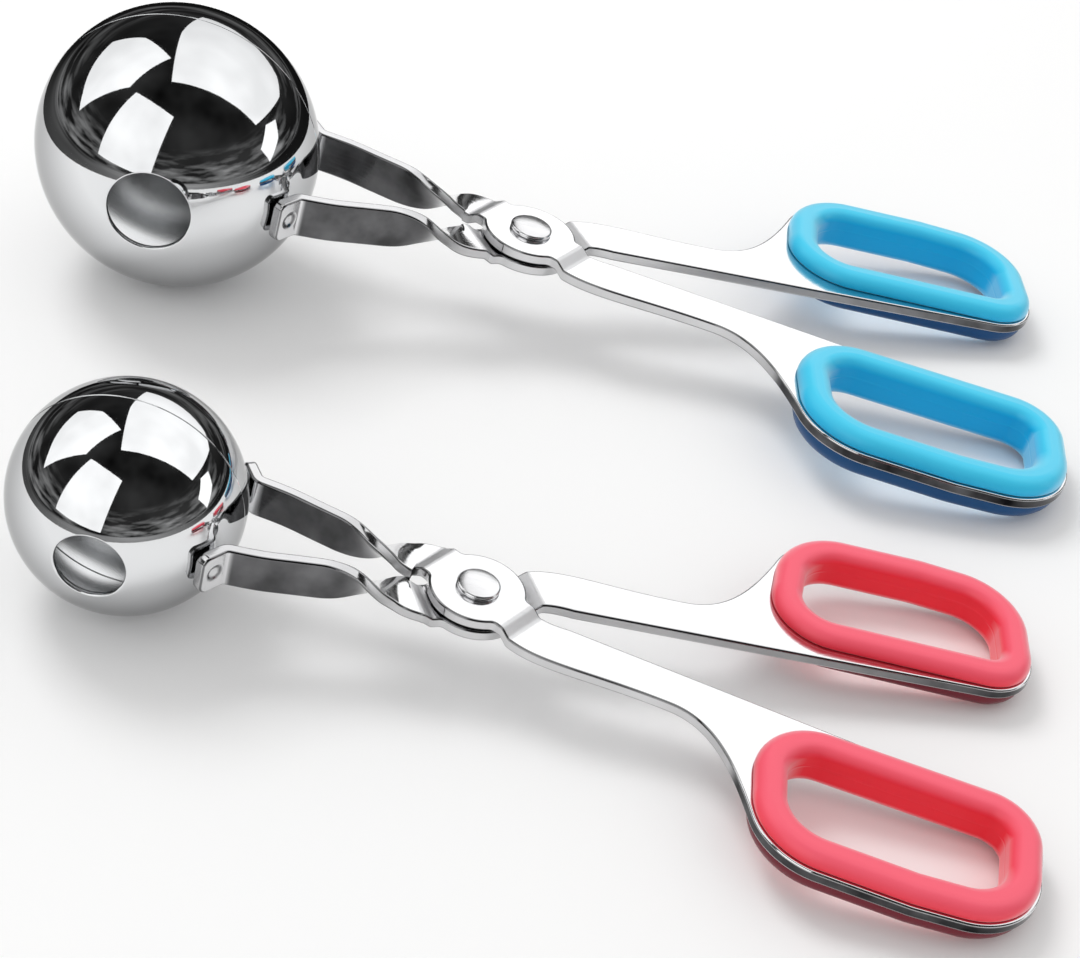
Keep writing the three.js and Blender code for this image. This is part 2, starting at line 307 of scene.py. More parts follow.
LARGE_PAIR = PairSizes(
    name="large", ball_radius=22.5, cup_wall=0.9, hole_radius=6.4, ball_reach=58, sheet=1.8,
    disc_radius=7.6, neck_width=7.8, ramp_length=1.8, strip_width=6.8, tab_length=4.8, tab_lead=2.4,
    weld_radius=1.4, weld_depth=0.35, handle_width=7.4, shoulder_length=12, loop_start=43.5,
    loop_length=47.3, loop_inner=10, loop_width=29.3, loop_band=3.8, grip_inset=0.5, grip_wall=1.5,
    grip_height=9.2, grip_round=2.6, grip_lip=1.3, rivet_radius=2.2, head_radius=3.4,
    head_height=1.4,
)

SMALL_PAIR = PairSizes(
    name="small", ball_radius=15.6, cup_wall=0.8, hole_radius=4.6, ball_reach=46.9, sheet=1.6,
    disc_radius=6.5, neck_width=6.7, ramp_length=1.6, strip_width=5.8, tab_length=4.2, tab_lead=2.1,
    weld_radius=1.2, weld_depth=0.3, handle_width=6.2, shoulder_length=10, loop_start=37.3,
    loop_length=39.6, loop_inner=8.3, loop_width=24.4, loop_band=3.1, grip_inset=0.45, grip_wall=1.3,
    grip_height=7.8, grip_round=2.15, grip_lip=1.1, rivet_radius=1.9, head_radius=2.9,
    head_height=1.2,
)

ARM_ANGLE = math.radians(30)
TAB_ANGLE = math.radians(33.5)
STRIP_ALONG_SHARES = (0.06, 0.16, 0.3, 0.46, 0.63, 0.81)
STRIP_SIDE_SHARES = (0.49, 0.51, 0.525, 0.635, 0.77, 0.915)
TWIST_END_SHARE = 0.52
# The second corner is rounder than the solids', as the photo shows it.
LOOP_CORNER_SHARES = (
    (0.252, 0.372, 0.371),
    (0.789, 0.3819, 0.31),
    (0.708, 0.568, 0.429),
    (0.567, 0.565, 0.435),
    (0.291, 0.532, 0.426),
)
SHOULDER_NORMAL = math.radians(160)
SHOULDER_REACH_SHARE = 0.42


@dataclass(frozen=True)
class PairFrame:
    """Where a pair lies in the row frame: its rivet, and its three axes as rows."""

    origin: np.ndarray
    axes: np.ndarray

    @staticmethod
    def of_joint(joint: dict, up_sign: int) -> "PairFrame":
        """Reads the frame off the pair's hinge, whose axis is the rivet's.

        Args:
            joint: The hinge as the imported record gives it.
            up_sign: 1 if the hinge's axis points up, or -1.

        Returns:
            The pair's frame.
        """
        up = np.array(joint["axis"], float) * up_sign
        up /= np.linalg.norm(up)
        across = np.array([-up[1], up[0], 0.0])
        across /= np.linalg.norm(across)
        return PairFrame(np.array(joint["pos_m"], float), np.vstack([np.cross(across, up), across, up]))

    def turn(self, vectors: np.ndarray, side: Side) -> np.ndarray:
        """Turns vectors of the pair's frame, made for the lower arm, into the row frame."""
        return (vectors * np.array([1, side.value, side.value])) @ self.axes

    def place(self, points: np.ndarray, side: Side) -> np.ndarray:
        """Places points of the pair's frame, in millimetres, in the row frame, in metres."""
        return self.origin + MM * self.turn(points, side)


# Finishes.


Socket = bpy.types.NodeSocket
Colour = tuple[float, float, float]

# A noise texture's values lie mostly in this range.
NOISE_LOW, NOISE_HIGH = 0.3, 0.7


class NodeSheet:
    """The node tree of a material or the surroundings, with short calls to add and join nodes."""

    def __init__(self, owner: bpy.types.Material | bpy.types.World) -> None:
        """Clears the node tree of a new material or world.

        Args:
            owner: The material or world that the nodes belong to.
        """
        self.owner = owner
        self.owner.use_nodes = True
        self.tree = self.owner.node_tree
        self.tree.nodes.clear()

    def add(self, kind: str, **settings: object) -> bpy.types.Node:
        """Adds a node.

        Args:
            kind: The node's type.
            settings: Values of its properties, or of its inputs by name with _ for a space.

        Returns:
            The new node.
        """
        node = self.tree.nodes.new(kind)
        for key, value in settings.items():
            if hasattr(node, key):
                setattr(node, key, value)
            else:
                node.inputs[key.replace("_", " ")].default_value = value
        return node

    def join(self, source: Socket, target: Socket) -> None:
        """Links one socket to another."""
        self.tree.links.new(source, target)

    def place(self) -> Socket:
        """Returns the socket of the place on the object."""
        return self.add("ShaderNodeTexCoord").outputs["Object"]

    def stretched(self, vector: Socket, stretch: tuple[float, float, float]) -> Socket:
        """Scales coordinates.

        Args:
            vector: The coordinates.
            stretch: Scale along each of the three directions.

        Returns:
            The scaled coordinates.
        """
        scale = self.add("ShaderNodeMapping", Scale=stretch)
        self.join(vector, scale.inputs["Vector"])
        return scale.outputs["Vector"]

    def flow_coordinates(self, stretch: tuple[float, float, float]) -> Socket:
        """Scales the coordinates kept along a piece's own sheet or wall.

        Args:
            stretch: Scale along each of the three kept directions, per millimetre.

        Returns:
            The socket with the scaled coordinates.
        """
        kept = self.add("ShaderNodeAttribute", attribute_name="flow")
        return self.stretched(kept.outputs["Vector"], stretch)

    def noise(self, at: Socket, scale: float, detail: float) -> Socket:
        """Adds a noise texture.

        Args:
            at: The coordinates that it is read at.
            scale: Its scale.
            detail: Its detail.

        Returns:
            The noise value.
        """
        node = self.add("ShaderNodeTexNoise", Scale=scale, Detail=detail)
        self.join(at, node.inputs["Vector"])
        return node.outputs["Fac"]

    def mapped(self, value: Socket, start: float, end: float, low: float, high: float) -> Socket:
        """Maps a value from one range onto another, held at its ends.

        Args:
            value: The value.
            start: Where the first range starts.
            end: Where the first range ends.
            low: The result at the start.
            high: The result at the end.

        Returns:
            The mapped value.
        """
        node = self.add(
            "ShaderNodeMapRange", From_Min=start, From_Max=end, To_Min=low, To_Max=high
        )
        self.join(value, node.inputs["Value"])
        return node.outputs["Result"]

    def spread(self, value: Socket, low: float, high: float) -> Socket:
        """Maps a noise value onto a range."""
        return self.mapped(value, NOISE_LOW, NOISE_HIGH, low, high)

    def tint(
        self, value: Socket, low: Colour, high: Colour,
        start: float = NOISE_LOW, end: float = NOISE_HIGH,
    ) -> Socket:
        """Blends two colours by a value.

        Args:
            value: The value.
            low: Colour up to the start.
            high: Colour from the end.
            start: Value where the blend starts.
            end: Value where it ends.

        Returns:
            The colour.
        """
        node = self.add("ShaderNodeValToRGB")
        stops = node.color_ramp.elements
        stops[0].position, stops[0].color = start, (*low, 1)
        stops[1].position, stops[1].color = end, (*high, 1)
        self.join(value, node.inputs["Fac"])
        return node.outputs["Color"]

    def carried(self, name: str) -> Socket:
        """Reads a value that the mesh carries."""
        return self.add("ShaderNodeAttribute", attribute_name=name).outputs["Fac"]

    def slant(self) -> Socket:
        """Returns how steeply the surface slants away, from 0 to 1."""
        return self.add("ShaderNodeLayerWeight", Blend=0.5).outputs["Facing"]

    def blend(self, factor: Socket, first: Socket, second: Socket | Colour) -> Socket:
        """Mixes two colours.

        Args:
            factor: How much of the second shows.
            first: The first colour.
            second: The second, as a socket or a plain colour.

        Returns:
            The mixed colour.
        """
        node = self.add("ShaderNodeMix", data_type="RGBA")
        self.join(factor, node.inputs["Factor"])
        self.join(first, node.inputs["A"])
        if isinstance(second, tuple):
            node.inputs["B"].default_value = (*second, 1)
        else:
            self.join(second, node.inputs["B"])
        return node.outputs["Result"]

    def reckon(self, operation: str, *values: Socket | float, clamped: bool = False) -> Socket:
        """Adds a sum, product or other plain operation.

        Args:
            operation: Name of the operation.
            values: What it works on, as sockets or numbers.
            clamped: Whether the result is held between 0 and 1.

        Returns:
            The result.
        """
        node = self.add("ShaderNodeMath", operation=operation, use_clamp=clamped)
        for slot, value in zip(node.inputs, values):
            if isinstance(value, float):
                slot.default_value = value
            else:
                self.join(value, slot)
        return node.outputs[0]

    def relief(
        self, height: Socket, strength: float, distance: float, under: Socket | None = None
    ) -> Socket:
        """Adds a bump.

        Args:
            height: The height value.
            strength: How strongly it shows, from 0 to 1.
            distance: Height of a value of 1, in metres.
            under: The normal it is laid over, if any.

        Returns:
            The bumped normal.
        """
        node = self.add("ShaderNodeBump", Strength=strength, Distance=distance)
        self.join(height, node.inputs["Height"])
        if under is not None:
            self.join(under, node.inputs["Normal"])
        return node.outputs["Normal"]

    def finish(
        self, shader: bpy.types.Node, output_kind: str = "ShaderNodeOutputMaterial"
    ) -> bpy.types.Material | bpy.types.World:
        """Joins the shader to the output.

        Args:
            shader: The last shader node.
            output_kind: Type of the output node.

        Returns:
            The material or world.
        """
        output = self.add(output_kind)
        self.join(shader.outputs[0], output.inputs["Surface"])
        return self.owner


def node_material(name: str) -> NodeSheet:
    """Starts an empty node material."""
    return NodeSheet(bpy.data.materials.new(name))


@dataclass(frozen=True)
class Steel:
    """Polished stainless steel: a tint, a gloss that varies a little, fine streaks and faint waves.

    Where the mesh carries its painted shading value, painted shading darkens the steel in blotches,
    standing in for dark reflections and shade; where it carries "satin" the gloss is softer; and at a
    steep slant painted shading darkens it a little.
    """

    name: str
    dark: Colour
    light: Colour
    smooth: float
    rough: float
    streak_stretch: tuple[float, float, float]
    streak_strength: float
    wave_scale: float
    wave_strength: float
    # Colours of the painted shade, blotched.
    painted_shade_dark: Colour = (0.006, 0.006, 0.007)
    painted_shade_light: Colour = (0.12, 0.12, 0.125)
    satin_rough: float = 0.42
    # The painted shade toward a steep slant: how strong it is, where it starts and is full, and its
    # colour.
    painted_slant_shade: float = 0.0
    painted_slant_from: float = 0.6
    painted_slant_full: float = 1.0
    painted_slant_colour: Colour = (0.12, 0.12, 0.125)
    blotch_scale: float = 170.0
    wave_height: float = 0.0005
    streak_height: float = 0.00002

    def material(self) -> bpy.types.Material:
        """Makes the node material.

        Returns:
            The material.
        """
        sheet = node_material(self.name)
        streaks = sheet.noise(sheet.flow_coordinates(self.streak_stretch), scale=1.0, detail=4.0)
        place = sheet.place()
        clouds = sheet.noise(place, self.wave_scale, detail=2.0)
        blotches = sheet.noise(place, self.blotch_scale, detail=3.0)
        # Painted shade: where the mesh carries the painted shade value, the blotched dark colours
        # replace the steel's tint.
        colour = sheet.blend(
            sheet.carried("painted_shade"), sheet.tint(clouds, self.dark, self.light),
            sheet.tint(blotches, self.painted_shade_dark, self.painted_shade_light),
        )
        # Painted shade that darkens the steel toward a steep slant, near its outline.
        rim = sheet.mapped(
            sheet.slant(), self.painted_slant_from, self.painted_slant_full, low=0.0, high=self.painted_slant_shade
        )
        streaked = sheet.spread(streaks, self.smooth, self.rough)
        gloss = sheet.reckon("MULTIPLY_ADD", sheet.carried("satin"), self.satin_rough, streaked)
        waves = sheet.relief(clouds, self.wave_strength, self.wave_height)
        normal = sheet.relief(streaks, self.streak_strength, self.streak_height, waves)
        shader = sheet.add("ShaderNodeBsdfPrincipled", Metallic=1.0)
        sheet.join(sheet.blend(rim, colour, self.painted_slant_colour), shader.inputs["Base Color"])
        sheet.join(gloss, shader.inputs["Roughness"])
        sheet.join(normal, shader.inputs["Normal"])
        return sheet.finish(shader)


@dataclass(frozen=True)
class SoftPlastic:
    """Moulded soft plastic with painted light: lit on its crown, a painted sheen at a slant, painted
    shading down its walls.

    The mesh carries the value "wall", from 0 on the crown to 1 on an upright wall, which sets the
    painted shading of the walls, and a painted shading value where the plastic lies under the steel.
    """

    name: str
    # Colours: painted shade under the steel, painted shade down the walls, the lit crown, and the
    # painted sheen.
    under: Colour
    painted_wall_shade: Colour
    crown: Colour
    pale: Colour
    gloss: float
    gloss_range: float = 0.08
    cloud_scale: float = 55.0
    cloud_depth: float = 0.04
    # The painted sheen: the slant where it starts, and its strength at full slant.
    sheen_from: float = 0.42
    sheen_full: float = 0.75
    shine: float = 0.35
    grain_scale: float = 1400.0
    grain_strength: float = 0.01
    grain_height: float = 0.00001

    def material(self) -> bpy.types.Material:
        """Makes the node material.

        Returns:
            The material.
        """
        sheet = node_material(self.name)
        place = sheet.place()
        clouds = sheet.noise(place, self.cloud_scale, detail=2.0)
        grain = sheet.noise(place, self.grain_scale, detail=1.0)
        drift = sheet.spread(clouds, -self.cloud_depth, self.cloud_depth)
        # Painted shade: the walls take the shaded colour and the crown the lit one.
        depth = sheet.reckon("ADD", sheet.carried("wall"), drift, clamped=True)
        body = sheet.tint(depth, self.crown, self.painted_wall_shade, start=0.05, end=0.95)
        # Painted sheen toward a slant.
        sheen = sheet.mapped(
            sheet.slant(), self.sheen_from, end=1.0, low=0.0, high=self.sheen_full
        )
        with_painted_sheen = sheet.blend(sheen, body, self.pale)
        # Painted shade where the plastic lies under the steel.
        colour = sheet.blend(sheet.carried("painted_shade"), with_painted_sheen, self.under)
        rough = sheet.spread(clouds, self.gloss, self.gloss + self.gloss_range)
        normal = sheet.relief(grain, self.grain_strength, self.grain_height)
        shader = sheet.add("ShaderNodeBsdfPrincipled", IOR=1.45, Specular_IOR_Level=self.shine)
        sheet.join(colour, shader.inputs["Base Color"])
        sheet.join(rough, shader.inputs["Roughness"])
        sheet.join(normal, shader.inputs["Normal"])
        return sheet.finish(shader)


# The mirror steel darkens strongly toward its outline: painted shade.
MIRROR_STEEL = Steel(
    name="mirror_steel", dark=(0.74, 0.75, 0.76), light=(0.84, 0.85, 0.86), smooth=0.02, rough=0.05,
    streak_stretch=(0.12, 3.0, 1.0), streak_strength=0.05, wave_scale=18.0, wave_strength=0.02,
    painted_slant_shade=0.88, painted_slant_from=0.3, painted_slant_full=0.85,
)
SHEET_STEEL = Steel(
    name="sheet_steel", dark=(0.78, 0.78, 0.79), light=(0.88, 0.88, 0.89), smooth=0.07, rough=0.16,
    streak_stretch=(0.12, 2.6, 2.6), streak_strength=0.25, wave_scale=90.0, wave_strength=0.06,
)
PIN_STEEL = Steel(
    name="pin_steel", dark=(0.74, 0.74, 0.75), light=(0.86, 0.86, 0.87), smooth=0.10, rough=0.20,
    streak_stretch=(0.2, 3.0, 3.0), streak_strength=0.3, wave_scale=160.0, wave_strength=0.05,
)
# Each grip colour as lit on the crown, as shaded down the walls and under the steel, and as a painted
# sheen.
BLUE_PLASTIC = SoftPlastic(
    name="blue_plastic", under=(0.0, 0.06, 0.19), painted_wall_shade=(0.0, 0.40, 0.73), crown=(0.055, 0.62, 0.88),
    pale=(0.52, 0.88, 1.0), gloss=0.3,
)
PINK_PLASTIC = SoftPlastic(
    name="pink_plastic", under=(0.16, 0.008, 0.02), painted_wall_shade=(0.85, 0.020, 0.042), crown=(0.94, 0.12, 0.18),
    pale=(1.0, 0.58, 0.63), gloss=0.3,
)


def grip_finishes() -> dict[GripColour, bpy.types.Material]:
    """Makes the grips' finishes, one to a colour."""
    return {GripColour.BLUE: BLUE_PLASTIC.material(), GripColour.PINK: PINK_PLASTIC.material()}


@dataclass
class FinishRack:
    """Every finish of the set, made once and shared."""

    cups: bpy.types.Material = field(default_factory=MIRROR_STEEL.material)
    arms: bpy.types.Material = field(default_factory=SHEET_STEEL.material)
    pins: bpy.types.Material = field(default_factory=PIN_STEEL.material)
    grips: dict[GripColour, bpy.types.Material] = field(default_factory=grip_finishes)


def dress(
    piece: bpy.types.Object, finish: bpy.types.Material, body: str, node: str
) -> None:
    """Gives a piece its finish and its place in the model.

    Args:
        piece: The piece, already in place.
        finish: Its material.
        body: CAD body that it moves with.
        node: CAD node that it stands for.
    """
    piece.data.materials.append(finish)
    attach(piece, body)
    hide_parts(node)
    log.info("%s: %d faces, rides on %s", piece.name, len(piece.data.polygons), body)


# The stamped arm.


@dataclass(frozen=True)
class ArmDetail:
    """How finely the arm is drawn and cut: counts, and steps and margins in millimetres."""

    edge_steps: int = 3
    arc_steps: int = 22
    curve_steps: int = 28
    strip_steps: int = 120
    lead_steps: int = 60
    fold_steps: int = 40
    fillet_steps: int = 8
    circle_steps: int = 48
    tip_steps: int = 9
    ramp_cuts: int = 19
    ramp_margin: float = 0.5
    strip_start: float = 0.4
    strip_step: float = 0.5
    cut_step: float = 0.45
    fold_before: float = 1.2
    fold_after: float = 2.4
    fold_step: float = 0.15
    tab_step: float = 0.3
    tab_margin: float = 0.2
    tip_margin: float = 0.3
    weld_margin: float = 0.6
    weld_step: float = 0.22
    table_step: float = 0.04
    table_spare: float = 6.0
    level_spare: float = 3.0
    normal_step: float = 0.05


@dataclass(frozen=True)
class ArmPaintedShadeAndSatin:
    """Where painted shading darkens the arm and how strongly, and where it turns satin: shares, and
    lengths in millimetres.
    """

    # strip, corner and edge are strengths of painted shade; the satin and ramp fields set a softer
    # gloss.
    strip: float = 0.93
    strip_from_share: float = 0.36
    strip_fade_share: float = 0.14
    under_from: float = 0.5
    under_fade: float = 2.0
    fold_before: float = 1.2
    fold_fade: float = 1.0
    face_slope: float = 0.9
    face_fade: float = 0.09
    corner: float = 0.8
    corner_fade: float = 0.08
    grip_relief: float = 0.7
    grip_from_share: float = 1.05
    grip_fade: float = 3.0
    edge: float = 0.25
    edge_slope: float = 0.3
    edge_satin: float = 0.7
    edge_satin_lead: float = 1.0
    ramp_before: float = 0.5
    ramp_after: float = 0.1
    ramp_fade: float = 0.4


@dataclass
class StampedArm:
    """The arm of a pair: a flat blank with rounded edges, bent, twisted and joggled into shape."""

    sizes: PairSizes
    detail: ArmDetail = ArmDetail()
    shades: ArmPaintedShadeAndSatin = ArmPaintedShadeAndSatin()
    edge_round: float = 0.34
    fold_radius: float = 1.5
    fold_settle: float = 1.5
    root_lap: float = 0.6
    root_lead: float = 1.2
    root_run: float = 4.0
    root_ease: float = 2.5
    crease_ease: float = 0.15
    crease_blur: float = 0.7
    neck_fillet: float = 1.0
    tip_radius: float = 1.3
    dimple_rim: float = 0.25
    dimple_flat_share: float = 0.35

    def __post_init__(self) -> None:
        """Works out the strip's centre line and its tables along the arm."""
        size = self.sizes
        outward, along = heading(-TAB_ANGLE), heading(-TAB_ANGLE - math.pi / 2)
        offset = size.ball_radius + size.fit_gap + size.sheet / 2
        middle = outward * offset - np.array([size.ball_reach, 0])
        self.fold = middle - along * size.tab_lead
        self.tip = middle + along * (size.tab_length - size.tab_lead)
        self._lay_strip()

    def _lay_strip(self) -> None:
        """Samples the strip from the ramp back to the tab's tip: place, heading and twist."""
        size = self.sizes
        start = heading(ARM_ANGLE) * -size.ramp_end
        keys = [
            np.array([start[0] + (self.fold[0] - start[0]) * share, self.fold[1] * side])
            for share, side in zip(STRIP_ALONG_SHARES, STRIP_SIDE_SHARES)
        ]
        curve = centripetal_curve(np.array([self.fold, *reversed(keys), start]), self.detail.strip_steps)
        ahead = self.fold - self.tip
        ahead /= np.linalg.norm(ahead)
        leave = curve[1] - curve[0]
        turn = math.atan2(leave[1], leave[0]) - math.atan2(ahead[1], ahead[0])
        turn = (turn + math.pi) % (2 * math.pi) - math.pi
        reach = self.fold_radius * math.tan(abs(turn) / 2)
        gone = walked_lengths(curve)
        self.strip_length = float(gone[-1])
        cut = int(np.searchsorted(gone, reach))
        lead_in = np.linspace(self.tip, self.fold - ahead * reach, self.detail.lead_steps)[:-1]
        side = np.array([-ahead[1], ahead[0]]) * math.copysign(1, turn)
        pivot = self.fold - ahead * reach + side * self.fold_radius
        swept = [
            pivot - self.fold_radius * (math.cos(a) * side - math.sin(a) * ahead)
            for a in np.linspace(0, abs(turn), self.detail.fold_steps)
        ]
        fading = np.exp(-(gone[cut:] - reach) / self.fold_settle)[:, None]
        rest = curve[cut:] + (swept[-1] - curve[cut]) * fading
        path = np.vstack([lead_in, swept[:-1], rest])[::-1]
        walked = walked_lengths(path)
        self.total = float(walked[-1])
        self.far = np.arange(0, self.total + self.detail.table_spare, self.detail.table_step)
        inside = np.minimum(self.far, self.total)
        place = np.column_stack([np.interp(inside, walked, path[:, i]) for i in (0, 1)])
        place -= np.maximum(self.far - self.total, 0)[:, None] * ahead
        slope = -np.gradient(place, self.detail.table_step, axis=0)
        angle = np.unwrap(np.arctan2(slope[:, 1], slope[:, 0]))
        ease = smoothstep(self.far / self.root_ease)
        self.angle = ARM_ANGLE + (angle - ARM_ANGLE) * ease
        self.place = place
        fold_extra = self.total - size.tab_length - self.strip_length
        share_gone = np.clip(self.far / (self.strip_length + fold_extra), 0, 1)
        self.twist = smoothstep(share_gone / TWIST_END_SHARE) * math.pi / 2
        self.cap = self._level_table()

    def _level_table(self) -> tuple[np.ndarray, np.ndarray]:
        """Tabulates the sheet's level along the arm, with rounded creases.

        Returns:
            Distances from the rivet, and the level at each.
        """
        size, ease = self.sizes, self.crease_ease
        distance = np.arange(0, size.ramp_end + self.detail.level_spare, self.detail.table_step)
        rise = np.interp(distance, [size.crease + ease, size.ramp_end - ease], [size.disc_level, 0.0])
        width = max(3, int(self.crease_blur / self.detail.table_step) | 1)
        window = np.hanning(width + 2)[1:-1]
        padded = np.pad(rise, width // 2, mode="edge")
        return distance, np.convolve(padded, window / window.sum(), mode="valid")

    def _half_width(self, distance: np.ndarray) -> np.ndarray:
        """Finds the strip's half width.

        Args:
            distance: Distances back from the ramp's end.

        Returns:
            The half width at each.
        """
        size = self.sizes
        turned = np.interp(distance, self.far, self.twist) / (math.pi / 2)
        return (size.neck_width + (size.strip_width - size.neck_width) * turned) / 2

    def _handle_outline(self) -> list[np.ndarray]:
        """Draws the handle with its finger loop.

        Returns:
            Its outline in the pair's frame, from the inner root to the outer one.
        """
        size = self.sizes
        along = heading(ARM_ANGLE)
        across = heading(ARM_ANGLE + math.pi / 2) * size.neck_width / 2
        root = along * size.ramp_end
        inner_root, outer_root = root - across, root + across
        corners = loop_corners(size)
        _, far_inner, far_outer, middle_outer, near_outer = corners
        inner_normal = tangent_normal((inner_root, 0.0), far_inner)
        end_normal = tangent_normal(far_inner, far_outer)
        top_normal = tangent_normal(far_outer, middle_outer)
        crest_normal = tangent_normal(middle_outer, near_outer)
        loop = [
            *corner_arc(far_inner, inner_normal, end_normal, self.detail.arc_steps),
            *corner_arc(far_outer, end_normal, top_normal, self.detail.arc_steps)[1:],
            *corner_arc(middle_outer, top_normal, crest_normal, self.detail.arc_steps // 2)[1:],
            *corner_arc(near_outer, crest_normal, SHOULDER_NORMAL, self.detail.arc_steps)[1:],
        ]
        inner_edge = heading(inner_normal + math.pi / 2)
        shoulder_x = size.loop_start - size.shoulder_length
        inner_rise = (shoulder_x - inner_root[0]) * inner_edge[1] / inner_edge[0]
        shoulder = np.array([shoulder_x, inner_root[1] + inner_rise + size.handle_width])
        leave = loop[-1]
        reach = SHOULDER_REACH_SHARE * size.loop_width
        bar = float(np.linalg.norm(shoulder - outer_root))
        hollow = [
            leave,
            leave + heading(SHOULDER_NORMAL + math.pi / 2) * reach,
            shoulder + inner_edge * size.shoulder_length / 2,
            shoulder,
        ]
        taper = [
            shoulder,
            shoulder - inner_edge * bar / 2,
            outer_root + along * bar / 4,
            outer_root,
        ]
        root_bend = [
            inner_root - along * self.root_lap,
            inner_root + along * self.root_lead,
            inner_root + inner_edge * self.root_run,
        ]
        return [
            *bezier(root_bend, self.detail.fillet_steps),
            *loop,
            *bezier(hollow, self.detail.curve_steps)[1:],
            *bezier(taper, self.detail.curve_steps)[1:],
        ]

    def _disc_side(self) -> list[np.ndarray]:
        """Draws the disc's left side with its two fillets.

        Returns:
            The outline along and across the arm, from the handle to the strip.
        """
        size = self.sizes
        half, fillet = size.neck_width / 2, self.neck_fillet
        centre_s = math.sqrt((size.disc_radius + fillet) ** 2 - (half + fillet) ** 2)
        centre = np.array([centre_s, half + fillet])
        lean = math.atan2(centre[1], centre[0])
        turned = np.linspace(-math.pi / 2, lean - math.pi, self.detail.fillet_steps)
        hollow = arc_points(centre, fillet, turned)
        if lean - math.pi > -math.pi / 2:
            hollow.reverse()
        about = np.linspace(lean, math.pi - lean, self.detail.circle_steps)[1:-1]
        round_arc = arc_points(np.zeros(2), size.disc_radius, about)
        mirror = np.array([-1, 1])
        return [*hollow, *round_arc, *[p * mirror for p in reversed(hollow)]]

    def _blank_outline(self) -> np.ndarray:
        """Draws the whole blank.

        Returns:
            Its outline along and across the arm, with the filled side on the left.
        """
        size, detail = self.sizes, self.detail
        handle = along_arm(np.array(self._handle_outline()))
        left = self._disc_side()
        back = np.arange(detail.strip_start, self.total - self.tip_radius, detail.strip_step)
        strip = [np.array([-size.ramp_end - d, w]) for d, w in zip(back, self._half_width(back))]
        tip = np.array([
            -size.ramp_end - self.total + self.tip_radius, size.strip_width / 2 - self.tip_radius
        ])
        turned = np.linspace(math.pi / 2, math.pi, detail.tip_steps)
        upper = [*left, *strip, *arc_points(tip, self.tip_radius, turned)]
        flip = np.array([1, -1])
        return np.array([*handle, *upper, *[p * flip for p in reversed(upper)]])

    def _blank(self) -> bmesh.types.BMesh:
        """Makes the blank with its rounded edges, its bore and its loop, not yet bent.

        Returns:
            The blank's mesh, with its normals in a layer.
        """
        size = self.sizes
        about = np.linspace(0, -2 * math.pi, self.detail.circle_steps + 1)[:-1]
        bore = np.array(arc_points(np.zeros(2), size.rivet_radius + size.fit_gap, about))
        window = along_arm(loop_outline(size, size.loop_band, self.detail.arc_steps)[0])[::-1]
        outlines = [self._blank_outline(), bore, window]
        bm = bmesh.new()
        normal_layer = bm.verts.layers.float_vector.new("flat_normal")
        half = size.sheet / 2
        angles = np.linspace(0, math.pi / 2, self.detail.edge_steps + 1)
        profile = [
            (-self.edge_round * (1 - math.sin(a)), half - self.edge_round * (1 - math.cos(a)), a)
            for a in angles
        ]
        profile += [(out, -up, math.pi - a) for out, up, a in reversed(profile)]
        caps: dict[int, list[bmesh.types.BMVert]] = {0: [], len(profile) - 1: []}
        for outline in outlines:
            normals, mitres = offset_normals(outline)
            rings = []
            for out, up, angle in profile:
                ring = []
                for point, normal, mitre in zip(outline, normals, mitres):
                    at = point + mitre * out
                    vert = bm.verts.new((at[0], at[1], up))
                    lean = math.sin(angle)
                    vert[normal_layer] = Vector((normal[0] * lean, normal[1] * lean, math.cos(angle)))
                    ring.append(vert)
                rings.append(ring)
            for i in range(len(rings) - 1):
                for j in range(len(outline)):
                    k = (j + 1) % len(outline)
                    bm.faces.new((rings[i][j], rings[i + 1][j], rings[i + 1][k], rings[i][k]))
            for i in caps:
                caps[i].extend(rings[i])
        lengths = [len(outline) for outline in outlines]
        for i, verts in caps.items():
            starts = np.cumsum([0, *lengths])
            loops = [[v.co.copy() for v in verts[a:b]] for a, b in zip(starts, starts[1:])]
            for triangle in tessellate_polygon(loops):
                bm.faces.new([verts[t] for t in triangle])
        bmesh.ops.recalc_face_normals(bm, faces=bm.faces)
        return bm

    def _cut(self, bm: bmesh.types.BMesh) -> None:
        """Cuts the blank across wherever it bends, and along the strip and the tab.

        Args:
            bm: The blank's mesh, cut in place.
        """
        size, detail = self.sizes, self.detail
        tip_at = -size.ramp_end - self.total
        fold_at = tip_at + size.tab_length
        ramp_cuts = np.linspace(
            size.crease - detail.ramp_margin, size.ramp_end + detail.ramp_margin, detail.ramp_cuts
        )
        levels = [
            *(-size.ramp_end - np.arange(0, self.total - detail.tip_margin, detail.cut_step)),
            *-ramp_cuts,
            *ramp_cuts,
            *np.arange(fold_at - detail.fold_before, fold_at + detail.fold_after, detail.fold_step),
            *np.arange(tip_at + detail.tip_margin, fold_at - detail.fold_before, detail.tab_step),
        ]
        for level in levels:
            near = [
                f for f in bm.faces
                if min(v.co.x for v in f.verts) < level - SLIVER
                and max(v.co.x for v in f.verts) > level + SLIVER
            ]
            self._slice(bm, near, Vector((level, 0, 0)), Vector((1, 0, 0)))
        for across in (-size.strip_width / 4, 0.0, size.strip_width / 4):
            self._slice_along(bm, -size.ramp_end + 10 * SLIVER, across)
        reach = size.weld_radius + detail.weld_margin
        for across in np.arange(-reach, reach, detail.weld_step):
            self._slice_along(bm, fold_at - detail.tab_margin, across)

    def _slice_along(self, bm: bmesh.types.BMesh, start: float, across: float) -> None:
        """Splits the faces that lie behind some place, along the arm.

        Args:
            bm: The mesh.
            start: Place along the arm that the faces lie behind.
            across: Where the cut lies across the arm.
        """
        behind = [f for f in bm.faces if max(v.co.x for v in f.verts) < start]
        self._slice(bm, behind, Vector((0, across, 0)), Vector((0, 1, 0)))

